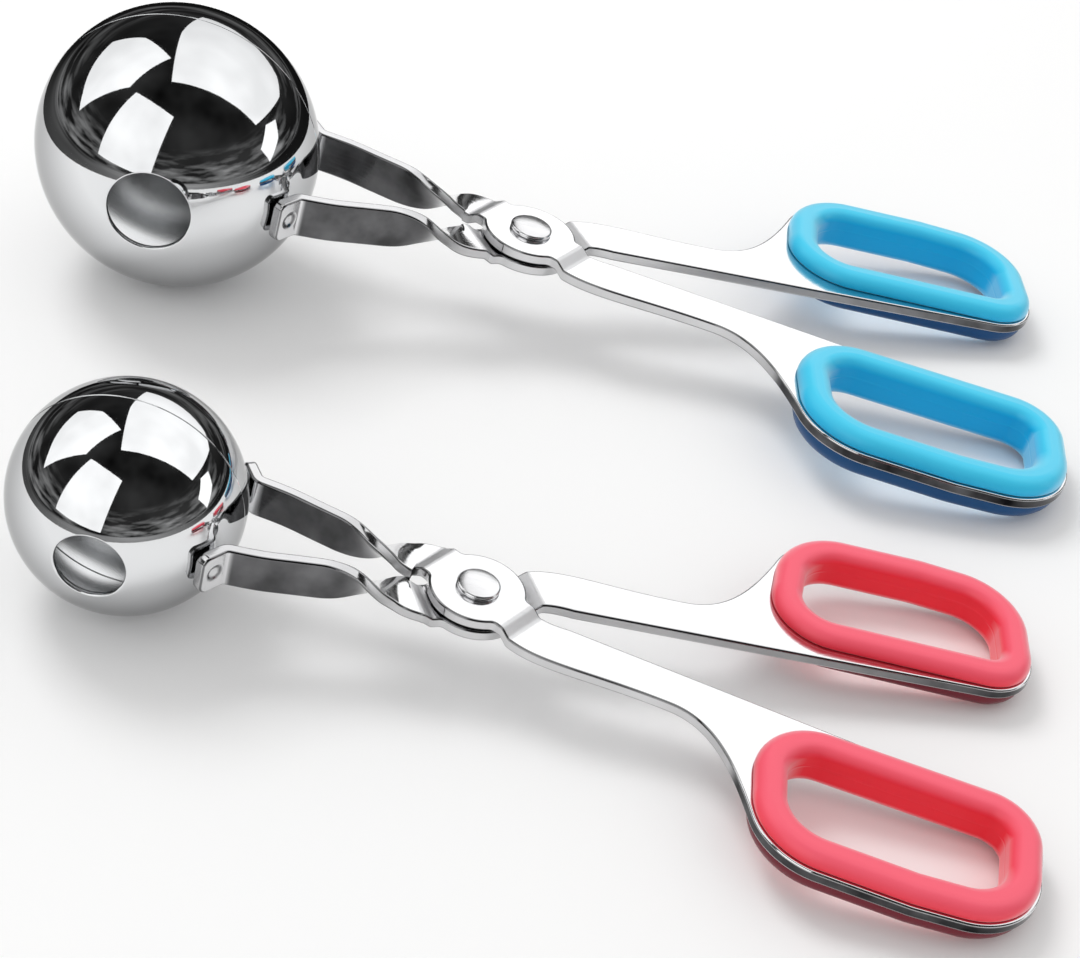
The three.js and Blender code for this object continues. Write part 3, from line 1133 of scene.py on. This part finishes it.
    @staticmethod
    def _slice(
        bm: bmesh.types.BMesh, faces: list[bmesh.types.BMFace], at: Vector, normal: Vector
    ) -> None:
        """Splits some faces along a plane.

        Args:
            bm: The mesh.
            faces: The faces to split.
            at: A point of the plane.
            normal: The plane's normal.
        """
        if not faces:
            return
        edges = {e for f in faces for e in f.edges}
        verts = {v for f in faces for v in f.verts}
        bmesh.ops.bisect_plane(
            bm, geom=[*verts, *edges, *faces], dist=SLIVER, plane_co=at, plane_no=normal
        )

    def _bend(self, flat: np.ndarray) -> np.ndarray:
        """Bends points of the blank into the pair's frame.

        Args:
            flat: Points along, across and through the blank.

        Returns:
            The same points in the pair's frame, in millimetres.
        """
        size = self.sizes
        along, across, through = flat.T
        back = np.maximum(-size.ramp_end - along, 0)
        ahead = np.maximum(along, -size.ramp_end)
        level = np.interp(np.abs(ahead), *self.cap) * (back <= 0)
        axis = heading(ARM_ANGLE)
        angle = np.interp(back, self.far, self.angle)
        twist = np.interp(back, self.far, self.twist)
        centre = np.column_stack([np.interp(back, self.far, self.place[:, i]) for i in (0, 1)])
        straight = ahead[:, None] * axis
        centre = np.where((back > 0)[:, None], centre, straight)
        left = np.column_stack([-np.sin(angle), np.cos(angle)])
        side_way = across * np.cos(twist) + through * np.sin(twist)
        up_way = -across * np.sin(twist) + through * np.cos(twist)
        return np.column_stack([centre + left * side_way[:, None], level + up_way])

    def _bent_normals(self, flat: np.ndarray, normals: np.ndarray) -> np.ndarray:
        """Carries the blank's normals through the bending.

        Args:
            flat: Points of the blank.
            normals: Unit normals there.

        Returns:
            Unit normals of the bent arm in the pair's frame.
        """
        step = self.detail.normal_step
        columns = [
            (self._bend(flat + move) - self._bend(flat - move)) / (2 * step)
            for move in np.eye(3) * step
        ]
        jacobian = np.stack(columns, axis=2)
        carried = np.linalg.solve(jacobian.transpose(0, 2, 1), normals[:, :, None])[:, :, 0]
        return carried / np.linalg.norm(carried, axis=1)[:, None]

    def _dimple(self, flat: np.ndarray, normals: np.ndarray) -> tuple[np.ndarray, np.ndarray]:
        """Presses the weld's dimple into the tab's outer face.

        Args:
            flat: Points of the blank.
            normals: Unit normals there.

        Returns:
            The points and normals with the dimple.
        """
        size = self.sizes
        centre = -size.ramp_end - self.total + size.tab_length - size.tab_lead
        away = np.column_stack([flat[:, 0] - centre, flat[:, 1]])
        distance = np.linalg.norm(away, axis=1)
        reach, flat_share = size.weld_radius + self.dimple_rim, self.dimple_flat_share
        share = distance / reach
        on_face = (normals[:, 2] < -0.999) & (share < 1)
        eased = np.clip((share - flat_share) / (1 - flat_share), 0, 1)
        fall = 1 - smoothstep(eased)
        slope = -6 * eased * (1 - eased) / ((1 - flat_share) * reach) * size.weld_depth
        pressed, leaned = flat.copy(), normals.copy()
        pressed[on_face, 2] += (size.weld_depth * fall)[on_face]
        way = away / np.maximum(distance, 1e-6)[:, None]
        leaned[on_face, :2] = (way * slope[:, None])[on_face]
        leaned /= np.linalg.norm(leaned, axis=1)[:, None]
        return pressed, leaned

    def looks(self, side: Side) -> dict[str, np.ndarray]:
        """Works out where painted shading darkens the arm and where it turns satin, once the arm is
        built.

        Args:
            side: Which of the twin arms it is.

        Returns:
            The blank's coordinates, how much painted shading each point takes and how satin it is, by
            name.
        """
        size, shades, flat = self.sizes, self.shades, self.flat
        through = self.flat_normals[:, 2]
        back = -size.ramp_end - flat[:, 0]
        fold_at = self.total - size.tab_length
        # Painted shade on the strip's faces, standing in for dark reflections, and on its under face
        # from the ramp on.
        strip_from = TWIST_END_SHARE * shades.strip_from_share
        on_strip = climb(back / fold_at, strip_from, shades.strip_fade_share)
        under = climb(back, shades.under_from, shades.under_fade)
        on_strip_face = np.where(through * side.value < 0, under, on_strip)
        before_fold = 1 - climb(back - fold_at, -shades.fold_before, shades.fold_fade)
        slope = np.abs(through)
        on_face = climb(slope, shades.face_slope, shades.face_fade)
        off_face = 1 - climb(slope, shades.face_slope, shades.corner_fade)
        on_edge = 1 - climb(slope, 0.0, shades.edge_slope)
        in_grip = climb(flat[:, 0], size.loop_start * shades.grip_from_share, shades.grip_fade)
        # Painted shade as dark lines on the edges' rounded corners, and on the edges in the grip.
        painted_corner_shade = (1 - on_edge) * off_face * (shades.corner - shades.grip_relief * in_grip)
        painted_edge_shade = on_edge * (shades.edge + (1 - shades.edge) * in_grip)
        out = np.abs(flat[:, 0])
        on_ramp = climb(out, size.crease - shades.ramp_before, shades.ramp_fade) * (
            1 - climb(out, size.ramp_end + shades.ramp_after, shades.ramp_fade)
        )
        painted_strip_shade = shades.strip * on_strip_face * before_fold * on_face
        bare_edge = on_edge * (back > -shades.edge_satin_lead) * (1 - on_strip)
        return {
            "flow": flat,
            "painted_shade": np.maximum(painted_strip_shade, painted_corner_shade + painted_edge_shade),
            "satin": np.maximum(on_ramp * on_face, shades.edge_satin * bare_edge),
        }

    def build(self) -> Made:
        """Makes the arm's mesh in the pair's frame.

        Returns:
            Points, faces, normals, and the blank's own coordinates.
        """
        bm = self._blank()
        self._cut(bm)
        bmesh.ops.recalc_face_normals(bm, faces=bm.faces)
        layer = bm.verts.layers.float_vector["flat_normal"]
        bm.verts.index_update()
        flat = np.array([v.co for v in bm.verts])
        normals = np.array([v[layer] for v in bm.verts])
        normals /= np.linalg.norm(normals, axis=1)[:, None]
        faces = [tuple(v.index for v in f.verts) for f in bm.faces]
        bm.free()
        flat, normals = self._dimple(flat, normals)
        self.flat, self.flat_normals = flat, normals
        return self._bend(flat), faces, self._bent_normals(flat, normals), {"flow": flat}


def along_arm(points: np.ndarray) -> np.ndarray:
    """Turns points of the pair's frame so that the arm runs along +X."""
    c, s = math.cos(ARM_ANGLE), math.sin(ARM_ANGLE)
    return np.column_stack([points[:, 0] * c + points[:, 1] * s, points[:, 1] * c - points[:, 0] * s])


def loop_corners(size: PairSizes) -> list[Corner]:
    """Finds the finger loop's corner circles.

    Args:
        size: Sizes of the pair.

    Returns:
        The circles in order round to the left, as centre and radius.
    """
    return [
        (
            np.array([
                size.loop_start + along * size.loop_length,
                size.loop_inner + across * size.loop_width,
            ]),
            radius * size.loop_width,
        )
        for along, across, radius in LOOP_CORNER_SHARES
    ]


def tangent_normal(first: Corner, second: Corner) -> float:
    """Finds the outward normal on the line that touches two circles on its left.

    Args:
        first: The circle that the line comes from, as centre and radius.
        second: The circle that it goes to.

    Returns:
        The normal's angle.
    """
    way = second[0] - first[0]
    lean = math.asin((first[1] - second[1]) / float(np.linalg.norm(way)))
    return (math.atan2(way[1], way[0]) - math.pi / 2 + lean) % (2 * math.pi)


def corner_angles(start: float, end: float, steps: int) -> np.ndarray:
    """Returns evenly spaced angles from one to another, going round to the left."""
    return np.linspace(start, end + 2 * math.pi if end < start else end, steps + 1)


def corner_arc(corner: Corner, start: float, end: float, steps: int) -> list[np.ndarray]:
    """Returns points round a corner circle between two normals."""
    return arc_points(*corner, corner_angles(start, end, steps))


def loop_outline(size: PairSizes, inset: float, steps: int) -> tuple[np.ndarray, np.ndarray]:
    """Draws the finger loop's outline.

    Args:
        size: Sizes of the pair.
        inset: How far it is drawn in.
        steps: Spans of each corner.

    Returns:
        The outline's points, and its outward normals.
    """
    corners = loop_corners(size)
    points, normals = [], []
    for i, corner in enumerate(corners):
        before, after = corners[i - 1], corners[(i + 1) % len(corners)]
        start, end = tangent_normal(before, corner), tangent_normal(corner, after)
        for angle in corner_angles(start, end, steps):
            points.append(corner[0] + heading(angle) * (corner[1] - inset))
            normals.append(heading(angle))
    return np.array(points), np.array(normals)


# The half ball.


@dataclass
class HalfBall:
    """One thin half of the ball with its release hole, open toward +Y in the pair's frame."""

    sizes: PairSizes
    segments: int = 192
    arc_rings: int = 64
    lip_steps: int = 4
    lip_round: float = 0.22
    rim_round: float = 0.12
    seam_gap: float = 0.03
    inner_satin: float = 0.4
    inner_share: float = 0.75

    def _profile(self) -> np.ndarray:
        """Draws the wall's section.

        Returns:
            Distance from the axis, depth toward -Y, and the normal's two parts, a row to a point.
        """
        size = self.sizes
        outer, inner = size.ball_radius, size.ball_radius - size.cup_wall
        rim, lip = self.rim_round, self.lip_round
        rows = []

        def arc(radius: float, start: float, end: float, sign: int) -> None:
            """Adds a spherical part of the wall.

            Args:
                radius: Its radius.
                start: Angle from the rim's plane where it starts.
                end: Angle where it ends.
                sign: 1 on the outside, -1 on the inside.
            """
            for a in np.linspace(start, end, self.arc_rings):
                n = heading(a)
                rows.append((radius * n[0], radius * n[1], sign * n[0], sign * n[1]))

        def corner(centre: np.ndarray, radius: float, start: float, end: float) -> None:
            """Adds a small rounded corner.

            Args:
                centre: Its centre.
                radius: Its radius.
                start: Angle of its first normal.
                end: Angle of its last normal.
            """
            for a in np.linspace(start, end, self.lip_steps + 2)[1:-1]:
                n = heading(a)
                rows.append((*(centre + radius * n), *n))

        rim_out = math.asin((self.seam_gap + rim) / (outer - rim))
        rim_in = math.asin((self.seam_gap + rim) / (inner + rim))
        hole_out = math.acos((size.hole_radius + lip) / (outer - lip))
        hole_in = math.acos((size.hole_radius + lip) / (inner + lip))
        arc(outer, rim_out, hole_out, 1)
        corner(heading(hole_out) * (outer - lip), lip, hole_out, math.pi)
        corner(heading(hole_in) * (inner + lip), lip, math.pi, math.pi + hole_in)
        arc(inner, hole_in, rim_in, -1)
        corner(heading(rim_in) * (inner + rim), rim, math.pi + rim_in, math.pi * 1.5)
        corner(heading(rim_out) * (outer - rim), rim, -math.pi / 2, rim_out)
        return np.array(rows)

    def build(self) -> Made:
        """Makes the half ball's mesh in the pair's frame.

        Returns:
            Points, faces, normals, and the places about the ball's middle.
        """
        rows = self._profile()
        wall_middle = self.sizes.ball_radius - self.sizes.cup_wall * self.inner_share
        inside = np.where(np.hypot(rows[:, 0], rows[:, 1]) < wall_middle, self.inner_satin, 0.0)
        angles = np.linspace(0, 2 * math.pi, self.segments, endpoint=False)
        points, normals, flow = [], [], []
        for a in angles:
            c, s = math.cos(a), math.sin(a)
            points.append(np.column_stack([
                rows[:, 0] * c - self.sizes.ball_reach, -rows[:, 1], rows[:, 0] * s
            ]))
            normals.append(np.column_stack([rows[:, 2] * c, -rows[:, 3], rows[:, 2] * s]))
            flow.append(np.column_stack([rows[:, 0] * c, rows[:, 1], rows[:, 0] * s]))
        faces = grid_faces(self.segments, len(rows), True, True)
        return np.vstack(points), faces, np.vstack(normals), {
            "flow": np.vstack(flow), "satin": np.tile(inside, self.segments),
        }


# The grip.


@dataclass
class FingerGrip:
    """The soft grip of a finger loop: a rounded channel that laps both faces of the steel band."""

    sizes: PairSizes
    side: Side
    corner_steps: int = 20
    round_steps: int = 9
    small_round: float = 0.3
    slot_gap: float = 0.05
    # How much of the walls' painted shade the outer walls take.
    outer_painted_shade: float = 0.85
    ridge: float = 0.03
    ridge_half: float = 0.3
    ridge_steps: int = 7
    small_steps: int = 3
    lip_share: float = 1.5
    bottom_share: float = 0.9
    top_share: float = 0.76
    foot_round: float = 1.7

    def _section(self) -> np.ndarray:
        """Draws the channel's section.

        Returns:
            Inset, height, and the normal's two parts, a row to a point.
        """
        size = self.sizes
        slot_floor = size.loop_band + size.fit_gap
        slot_half = size.sheet / 2 + self.slot_gap
        opening = slot_floor + size.grip_wall
        top = size.grip_height / 2 * self.top_share
        bottom = size.grip_height / 2 * self.bottom_share
        soft, lip, small = size.grip_round, size.grip_lip * self.lip_share, self.small_round
        foot = size.grip_lip * self.foot_round
        rows = [(slot_floor, -slot_half + small, -1.0, 0.0), (slot_floor - small, -slot_half, 0.0, 1.0)]

        def corner(at: tuple[float, float], radius: float, turn: int, steps: int) -> None:
            """Adds a rounded corner of a quarter turn.

            Args:
                at: Its centre.
                radius: Its radius.
                turn: Angle of its first normal, in quarter turns.
                steps: Number of spans.
            """
            for a in np.linspace(turn * quarter, (turn + 1) * quarter, steps + 1):
                n = heading(a)
                rows.append((at[0] + radius * n[0], at[1] + radius * n[1], n[0], n[1]))

        quarter = math.pi / 2
        outer = size.grip_inset
        corner((outer + small, -slot_half - small), small, 1, self.small_steps)
        corner((outer + soft, -bottom + soft), soft, 2, self.round_steps)
        corner((opening - foot, -bottom + foot), foot, 3, self.round_steps)
        half = self.ridge_half
        for height in np.linspace(-half, half, self.ridge_steps):
            bulge = self.ridge * math.cos(height / half * quarter) ** 2
            tilt = self.ridge * math.sin(height / half * math.pi) * quarter / half
            length = math.hypot(1, tilt)
            rows.append((opening + bulge, height, 1 / length, tilt / length))
        crown = min(soft, top - slot_half - small)
        corner((opening - lip, top - lip), lip, 0, self.round_steps)
        corner((outer + crown, top - crown), crown, 1, self.round_steps)
        corner((outer + small, slot_half + small), small, 2, self.small_steps)
        rows.append((slot_floor - small, slot_half, 0.0, -1.0))
        rows.append((slot_floor, slot_half - small, -1.0, 0.0))
        return np.array(rows)

    def build(self) -> Made:
        """Makes the grip's mesh in the pair's frame.

        Returns:
            Points, faces, normals, and how much painted shading of the walls and under the steel each
            point takes.
        """
        rows = self._section() * np.array([1, self.side.value, 1, self.side.value])
        # Painted shade on the lower flange where it lies under the steel.
        beneath = rows[:, 1] * self.side.value < -self.sizes.sheet / 2
        painted_shade = np.where(beneath & (rows[:, 0] < self.sizes.loop_band), 1.0, 0.0)
        # Painted shade of the walls: 0 on the crown, 1 on an upright wall, less on the outer walls.
        inner = rows[:, 2] > 0
        lean = 1 - np.clip(rows[:, 3] * self.side.value, 0, 1)
        wall = np.where(inner, lean, self.outer_painted_shade * lean)
        outline, outward = loop_outline(self.sizes, 0.0, self.corner_steps)
        points, normals = [], []
        for at, out in zip(outline, outward):
            points.append(np.column_stack([at - rows[:, :1] * out, rows[:, 1]]))
            normals.append(np.column_stack([-rows[:, 2:3] * out, rows[:, 3]]))
        faces = grid_faces(len(outline), len(rows), True, True)
        return np.vstack(points), faces, np.vstack(normals), {
            "painted_shade": np.tile(painted_shade, len(outline)), "wall": np.tile(wall, len(outline)),
        }


# The rivet.


@dataclass
class PivotRivet:
    """The pivot rivet: a pin with a low domed head at each end."""

    sizes: PairSizes
    segments: int = 96
    dome_rings: int = 24
    dome_power: float = 2.6
    dome_reach: float = 0.93
    dome_share: float = 0.3
    height_share: float = 0.62
    foot_drop: float = 0.25
    satin: float = 0.2
    edge: float = 0.18
    rim: tuple[tuple[float, float], ...] = ((-0.09, -0.03), (-0.02, -0.12), (0.0, -0.25))
    foot_round: float = 0.05

    def _profile(self) -> np.ndarray:
        """Draws the pin's section above its middle.

        Returns:
            Distance from the axis and height, a row to a point.
        """
        size = self.sizes
        base = size.sheet + size.fit_gap / 2 + size.fit_gap
        rise = size.head_height * self.dome_share
        crest = base + size.head_height * self.height_share
        foot = base - self.foot_drop
        dome = [
            (size.head_radius * share, crest - rise * share ** self.dome_power)
            for share in np.linspace(0.0, self.dome_reach, self.dome_rings)
        ]
        side = size.head_radius
        top = crest - rise
        small = self.foot_round
        return np.array([
            *dome,
            *[(side + out, top + up) for out, up in self.rim],
            (side, foot + self.edge),
            (side - small, foot + small),
            (side - self.edge, foot),
            (size.rivet_radius + small, foot),
            (size.rivet_radius, foot - small),
            (size.rivet_radius, foot - size.fit_gap),
        ])

    def build(self) -> Made:
        """Makes the rivet's mesh in the pair's frame.

        Returns:
            Points, faces, no normals, and the places in the pair's frame.
        """
        upper = self._profile()[1:]
        rows = np.vstack([upper, (upper * np.array([1, -1]))[::-1]])
        angles = np.linspace(0, 2 * math.pi, self.segments, endpoint=False)
        rings = [np.column_stack([rows[:, 0] * c, rows[:, 0] * s, rows[:, 1]])
                 for c, s in ((math.cos(a), math.sin(a)) for a in angles)]
        points = np.vstack([*rings, self._pole(1), self._pole(-1)])
        faces = grid_faces(self.segments, len(rows), True, False)
        top, bottom = len(points) - 2, len(points) - 1
        for i in range(self.segments):
            here, there = i * len(rows), ((i + 1) % self.segments) * len(rows)
            faces.append((top, here, there))
            faces.append((bottom, there + len(rows) - 1, here + len(rows) - 1))
        return points, faces, None, {"flow": points.copy(), "satin": np.full(len(points), self.satin)}

    def _pole(self, sign: int) -> np.ndarray:
        """Returns the middle point of a head, as one row."""
        return np.array([[0.0, 0.0, sign * self._profile()[0][1]]])


# A whole pair.


@dataclass
class TongsPair:
    """One pair of tongs: two arms, two half balls, two grips and a rivet."""

    sizes: PairSizes
    joint_name: str
    up_sign: int
    moving_side: Side
    colour: GripColour

    def _frame(self) -> PairFrame:
        """Returns where the pair lies."""
        joint = next(j for j in frame["joints"] if j["name"] == self.joint_name)
        return PairFrame.of_joint(joint, self.up_sign)

    def _body(self, side: Side) -> str:
        """Returns the CAD body that an arm rides on."""
        return f"{self.sizes.name}_moving_arm" if side is self.moving_side else "resting_arms"

    def _set(
        self, lay: PairFrame, side: Side, part: str, node: str, made: Made,
        finish: bpy.types.Material,
    ) -> None:
        """Places one made mesh and dresses it.

        Args:
            lay: Where the pair lies.
            side: Which of the twin arms it belongs to.
            part: Name of the piece, without the pair's.
            node: CAD node that it stands for, without the pair's name.
            made: Points, faces, normals and stores of the mesh.
            finish: Its material.
        """
        points, faces, normals, stores = made
        turned = None if normals is None else lay.turn(normals, side)
        piece = make_piece(
            f"{self.sizes.name}_{part}", lay.place(points, side), faces, turned, stores
        )
        dress(piece, finish, self._body(side), f"{self.sizes.name}_{node}")

    def build(self, rack: FinishRack) -> None:
        """Builds and dresses every piece of the pair.

        Args:
            rack: The finishes.
        """
        lay = self._frame()
        stamped = StampedArm(self.sizes)
        points, faces, normals, _ = stamped.build()
        ball = HalfBall(self.sizes).build()
        nodes = {
            Side.LOWER: ("arm_lower", "cup_front", "grip_rear"),
            Side.UPPER: ("arm_upper", "cup_rear", "grip_front"),
        }
        for side, (arm_node, cup_node, grip_node) in nodes.items():
            arm = (points, faces, normals, stamped.looks(side))
            grip = FingerGrip(self.sizes, side).build()
            self._set(lay, side, f"{arm_node}_pressing", arm_node, arm, rack.arms)
            self._set(lay, side, f"{cup_node}_shell", cup_node, ball, rack.cups)
            self._set(
                lay, side, f"{grip_node}_sleeve", grip_node, grip, rack.grips[self.colour],
            )
        pin = PivotRivet(self.sizes).build()
        body_side = Side.LOWER if self.moving_side is Side.UPPER else Side.UPPER
        self._set(lay, body_side, "pivot_pin", "pivot_rivet", pin, rack.pins)


# The studio.


@dataclass
class Studio:
    """A pale floor, soft light, and a dark canopy with bright panels seen only in reflections: painted
    reflections.
    """

    floor_reach: float = 6.0
    floor_colour: Colour = (0.96, 0.96, 0.96)
    canopy_radius: float = 3.0
    canopy_floor: float = 0.0
    canopy_top: float = 89.0
    canopy_rows: int = 24
    canopy_columns: int = 72
    canopy_outset: float = 1.1
    panel_strength: float = 1.3
    panel_dim_share: float = 0.82
    panel_bright_share: float = 1.05
    panel_clouds: float = 0.6
    low_from: float = 0.1
    low_to: float = 1.5
    streak_scale: float = 1.5
    streak_stretch: tuple[float, float, float] = (0.45, 0.45, 2.4)
    streak_range: tuple[float, float] = (-0.6, 1.0)
    apron_reach: float = 0.2
    apron_shift: float = -0.03
    apron_rise: float = 0.0004
    soft_colour: Colour = (1.0, 0.998, 0.995)
    soft_strength: float = 0.79
    lamp_place: tuple[float, float, float] = (-0.55, 0.45, 1.0)
    lamp_size: float = 0.5
    lamp_power: float = 4.8

    @staticmethod
    def direction(azimuth: float, elevation: float) -> Vector:
        """Returns the unit vector at an azimuth from +X and an elevation, both in degrees."""
        a, e = math.radians(azimuth), math.radians(elevation)
        return Vector((math.cos(e) * math.cos(a), math.cos(e) * math.sin(a), math.sin(e)))

    @staticmethod
    def set_up(
        name: str, points: np.ndarray, faces: list[tuple[int, ...]],
        finish: bpy.types.Material, seen: Seen,
    ) -> None:
        """Makes a piece of the studio.

        Args:
            name: Name of the piece.
            points: Its corners, in metres.
            faces: Corner numbers of each face.
            finish: Its material.
            seen: Which rays see it.
        """
        piece = make_piece(name, points, faces, None)
        piece.data.materials.append(finish)
        if seen is Seen.IN_METAL:
            piece.visible_camera = False
            piece.visible_diffuse = False
            piece.visible_transmission = False
            piece.visible_volume_scatter = False
            piece.visible_shadow = False

    def clouded_glow(
        self, name: str, scale: float, dim: float, bright: float, low_bright: float = 0.0
    ) -> bpy.types.Material:
        """Makes a glowing material whose strength drifts in soft clouds.

        Args:
            name: Name of the material.
            scale: Scale of the clouds, per metre.
            dim: Strength of the darkest clouds.
            bright: Strength of the brightest.
            low_bright: Strength of the streaks added close to the floor.

        Returns:
            The material.
        """
        sheet = node_material(name)
        place = sheet.place()
        clouds = sheet.spread(sheet.noise(place, scale, detail=2.0), dim, bright)
        height = sheet.add("ShaderNodeSeparateXYZ")
        sheet.join(place, height.inputs[0])
        # Brighter streaks close to the floor, seen only in reflections: painted reflection streaks.
        low = sheet.mapped(height.outputs["Z"], self.low_from, self.low_to, low=1.0, high=0.0)
        flat = sheet.stretched(place, self.streak_stretch)
        streaks = sheet.spread(sheet.noise(flat, self.streak_scale, detail=3.0), *self.streak_range)
        floor_part = sheet.reckon("MULTIPLY", streaks, low, clamped=True)
        lamp = sheet.add("ShaderNodeEmission")
        sheet.join(
            sheet.reckon("MULTIPLY_ADD", floor_part, low_bright, clouds), lamp.inputs["Strength"]
        )
        return sheet.finish(lamp)

    def floor(self) -> None:
        """Lays the pale floor."""
        corners = self.floor_reach * np.array([(-1, -1, 0), (1, -1, 0), (1, 1, 0), (-1, 1, 0)])
        sheet = node_material("floor_white")
        shader = sheet.add("ShaderNodeBsdfDiffuse", Color=(*self.floor_colour, 1))
        self.set_up("studio_floor", corners, [(0, 1, 2, 3)], sheet.finish(shader), Seen.EVERYWHERE)

    def canopy(self) -> None:
        """Hangs the dark canopy, and lays its dark apron on the floor, which only reflections see:
        painted dark reflections.
        """
        rows, columns = self.canopy_rows, self.canopy_columns
        radius = self.canopy_radius * self.canopy_outset
        dome = [
            self.direction(azimuth, elevation) * radius
            for elevation in np.linspace(self.canopy_floor, self.canopy_top, rows)
            for azimuth in np.linspace(0, 360, columns, endpoint=False)
        ]
        rings = [
            np.array([reach * math.cos(a), reach * math.sin(a) + self.apron_shift, self.apron_rise])
            for reach in (self.apron_reach, radius)
            for a in np.linspace(0, 2 * math.pi, columns, endpoint=False)
        ]
        dark = self.clouded_glow("canopy_dark", scale=0.5, dim=0.002, bright=0.035, low_bright=0.35)
        for name, points, count in (("studio_canopy", dome, rows), ("studio_apron", rings, 2)):
            faces = grid_faces(count, columns, False, True)
            self.set_up(name, np.array(points), faces, dark, Seen.IN_METAL)

    def panel(self, name: str, corners: list[tuple[float, float]]) -> None:
        """Hangs one bright panel, seen only in reflections and lighting nothing: a painted bright
        reflection.

        Args:
            name: Name of the panel.
            corners: Azimuth and elevation of each corner, in degrees.
        """
        points = np.array([self.direction(*c) * self.canopy_radius for c in corners])
        glow = self.clouded_glow(
            f"panel_{name}", self.panel_clouds, self.panel_strength * self.panel_dim_share,
            self.panel_strength * self.panel_bright_share,
        )
        faces = [tuple(range(len(points)))]
        self.set_up(f"studio_panel_{name}", points, faces, glow, Seen.IN_METAL)

    def panels(self) -> None:
        """Hangs every bright panel."""
        self.panel("left", [
            (133.3, 47.5), (135.4, 75.6), (-156.8, 52.8), (-174.4, 14.6), (176.8, 20.6), (142, 30)
        ])
        self.panel("back", [(106, 50), (98, 22), (57, 18), (42, 19), (1.2, 27.6), (-115.5, 78.5)])
        self.panel("front", [(-145.4, 54.9), (-85.0, 51.6), (-98.6, 1.2), (-142.6, 4.3)])
        self.panel("right", [(22.3, 18.4), (16.5, 9.6), (1.5, 0.5), (-4.0, 12.1), (10.2, 22.2)])

    def world(self) -> None:
        """Sets the white surroundings and their plain soft light."""
        sheet = NodeSheet(bpy.data.worlds.new("soft_surroundings"))
        rays = sheet.add("ShaderNodeLightPath").outputs
        seen = sheet.reckon("MAXIMUM", rays["Is Camera Ray"], rays["Is Glossy Ray"])
        seen = sheet.reckon("MAXIMUM", seen, rays["Is Transmission Ray"])
        soft = sheet.add(
            "ShaderNodeBackground", Color=(*self.soft_colour, 1), Strength=self.soft_strength
        )
        white = sheet.add("ShaderNodeBackground", Color=(1, 1, 1, 1), Strength=1.0)
        blend = sheet.add("ShaderNodeMixShader")
        sheet.join(seen, blend.inputs["Fac"])
        sheet.join(soft.outputs[0], blend.inputs[1])
        sheet.join(white.outputs[0], blend.inputs[2])
        bpy.context.scene.world = sheet.finish(blend, "ShaderNodeOutputWorld")

    def lamp(self, name: str, at: Vector, size: float, power: float) -> None:
        """Hangs one soft lamp that looks at the set.

        Args:
            name: Name of the lamp.
            at: Its place.
            size: Side of its square.
            power: Its power in watts.
        """
        light = bpy.data.lights.new(name, "AREA")
        light.shape = "SQUARE"
        light.size = size
        light.energy = power
        lamp = bpy.data.objects.new(name, light)
        lamp.location = at
        lamp.rotation_mode = "QUATERNION"
        lamp.rotation_quaternion = (-at).to_track_quat("-Z", "Y")
        lamp.visible_glossy = False
        lamp.visible_camera = False
        bpy.context.scene.collection.objects.link(lamp)

    def build(self) -> None:
        """Builds the whole studio."""
        self.floor()
        self.canopy()
        self.panels()
        self.world()
        self.lamp("key_lamp", Vector(self.lamp_place), self.lamp_size, self.lamp_power)
        log.info("studio: floor, canopy, four panels, surroundings and one lamp")


@dataclass(frozen=True)
class PhotoCamera:
    """The camera, at the photograph's viewing angle."""

    place: tuple[float, float, float] = (0.00677, -0.24217, 0.17806)
    elevation: float = 36.77
    yaw: float = -0.66
    roll: float = 9.85
    focal_pixels: float = 1977.0
    frame_pixels: int = 1080
    sensor: float = 36.0
    nearest: float = 0.01
    farthest: float = 50.0

    def build(self) -> None:
        """Makes the camera and sets it as the scene's."""
        e, y, r = (math.radians(v) for v in (self.elevation, self.yaw, self.roll))
        forward = Vector((math.cos(e) * math.sin(y), math.cos(e) * math.cos(y), -math.sin(e)))
        level = forward.cross(Vector((0, 0, 1))).normalized()
        upright = level.cross(forward)
        right = math.cos(r) * level + math.sin(r) * upright
        up = math.cos(r) * upright - math.sin(r) * level
        data = bpy.data.cameras.new("photo_camera")
        data.sensor_width = self.sensor
        data.lens = self.focal_pixels / self.frame_pixels * self.sensor
        data.clip_start, data.clip_end = self.nearest, self.farthest
        camera = bpy.data.objects.new("photo_camera", data)
        camera.matrix_world = Matrix((
            (right.x, up.x, -forward.x, self.place[0]),
            (right.y, up.y, -forward.y, self.place[1]),
            (right.z, up.z, -forward.z, self.place[2]),
            (0, 0, 0, 1),
        ))
        bpy.context.scene.collection.objects.link(camera)
        bpy.context.scene.camera = camera
        log.info("camera: %.1f degrees above the floor, %.0f mm lens", self.elevation, data.lens)


def main() -> None:
    """Builds both pairs of tongs, the studio and the camera."""
    rack = FinishRack()
    TongsPair(LARGE_PAIR, "large_rivet_hinge", 1, Side.LOWER, GripColour.BLUE).build(rack)
    TongsPair(SMALL_PAIR, "small_rivet_hinge", -1, Side.UPPER, GripColour.PINK).build(rack)
    Studio().build()
    PhotoCamera().build()
    bpy.context.scene.view_settings.view_transform = "Standard"


if __name__ == "__main__":
    main()
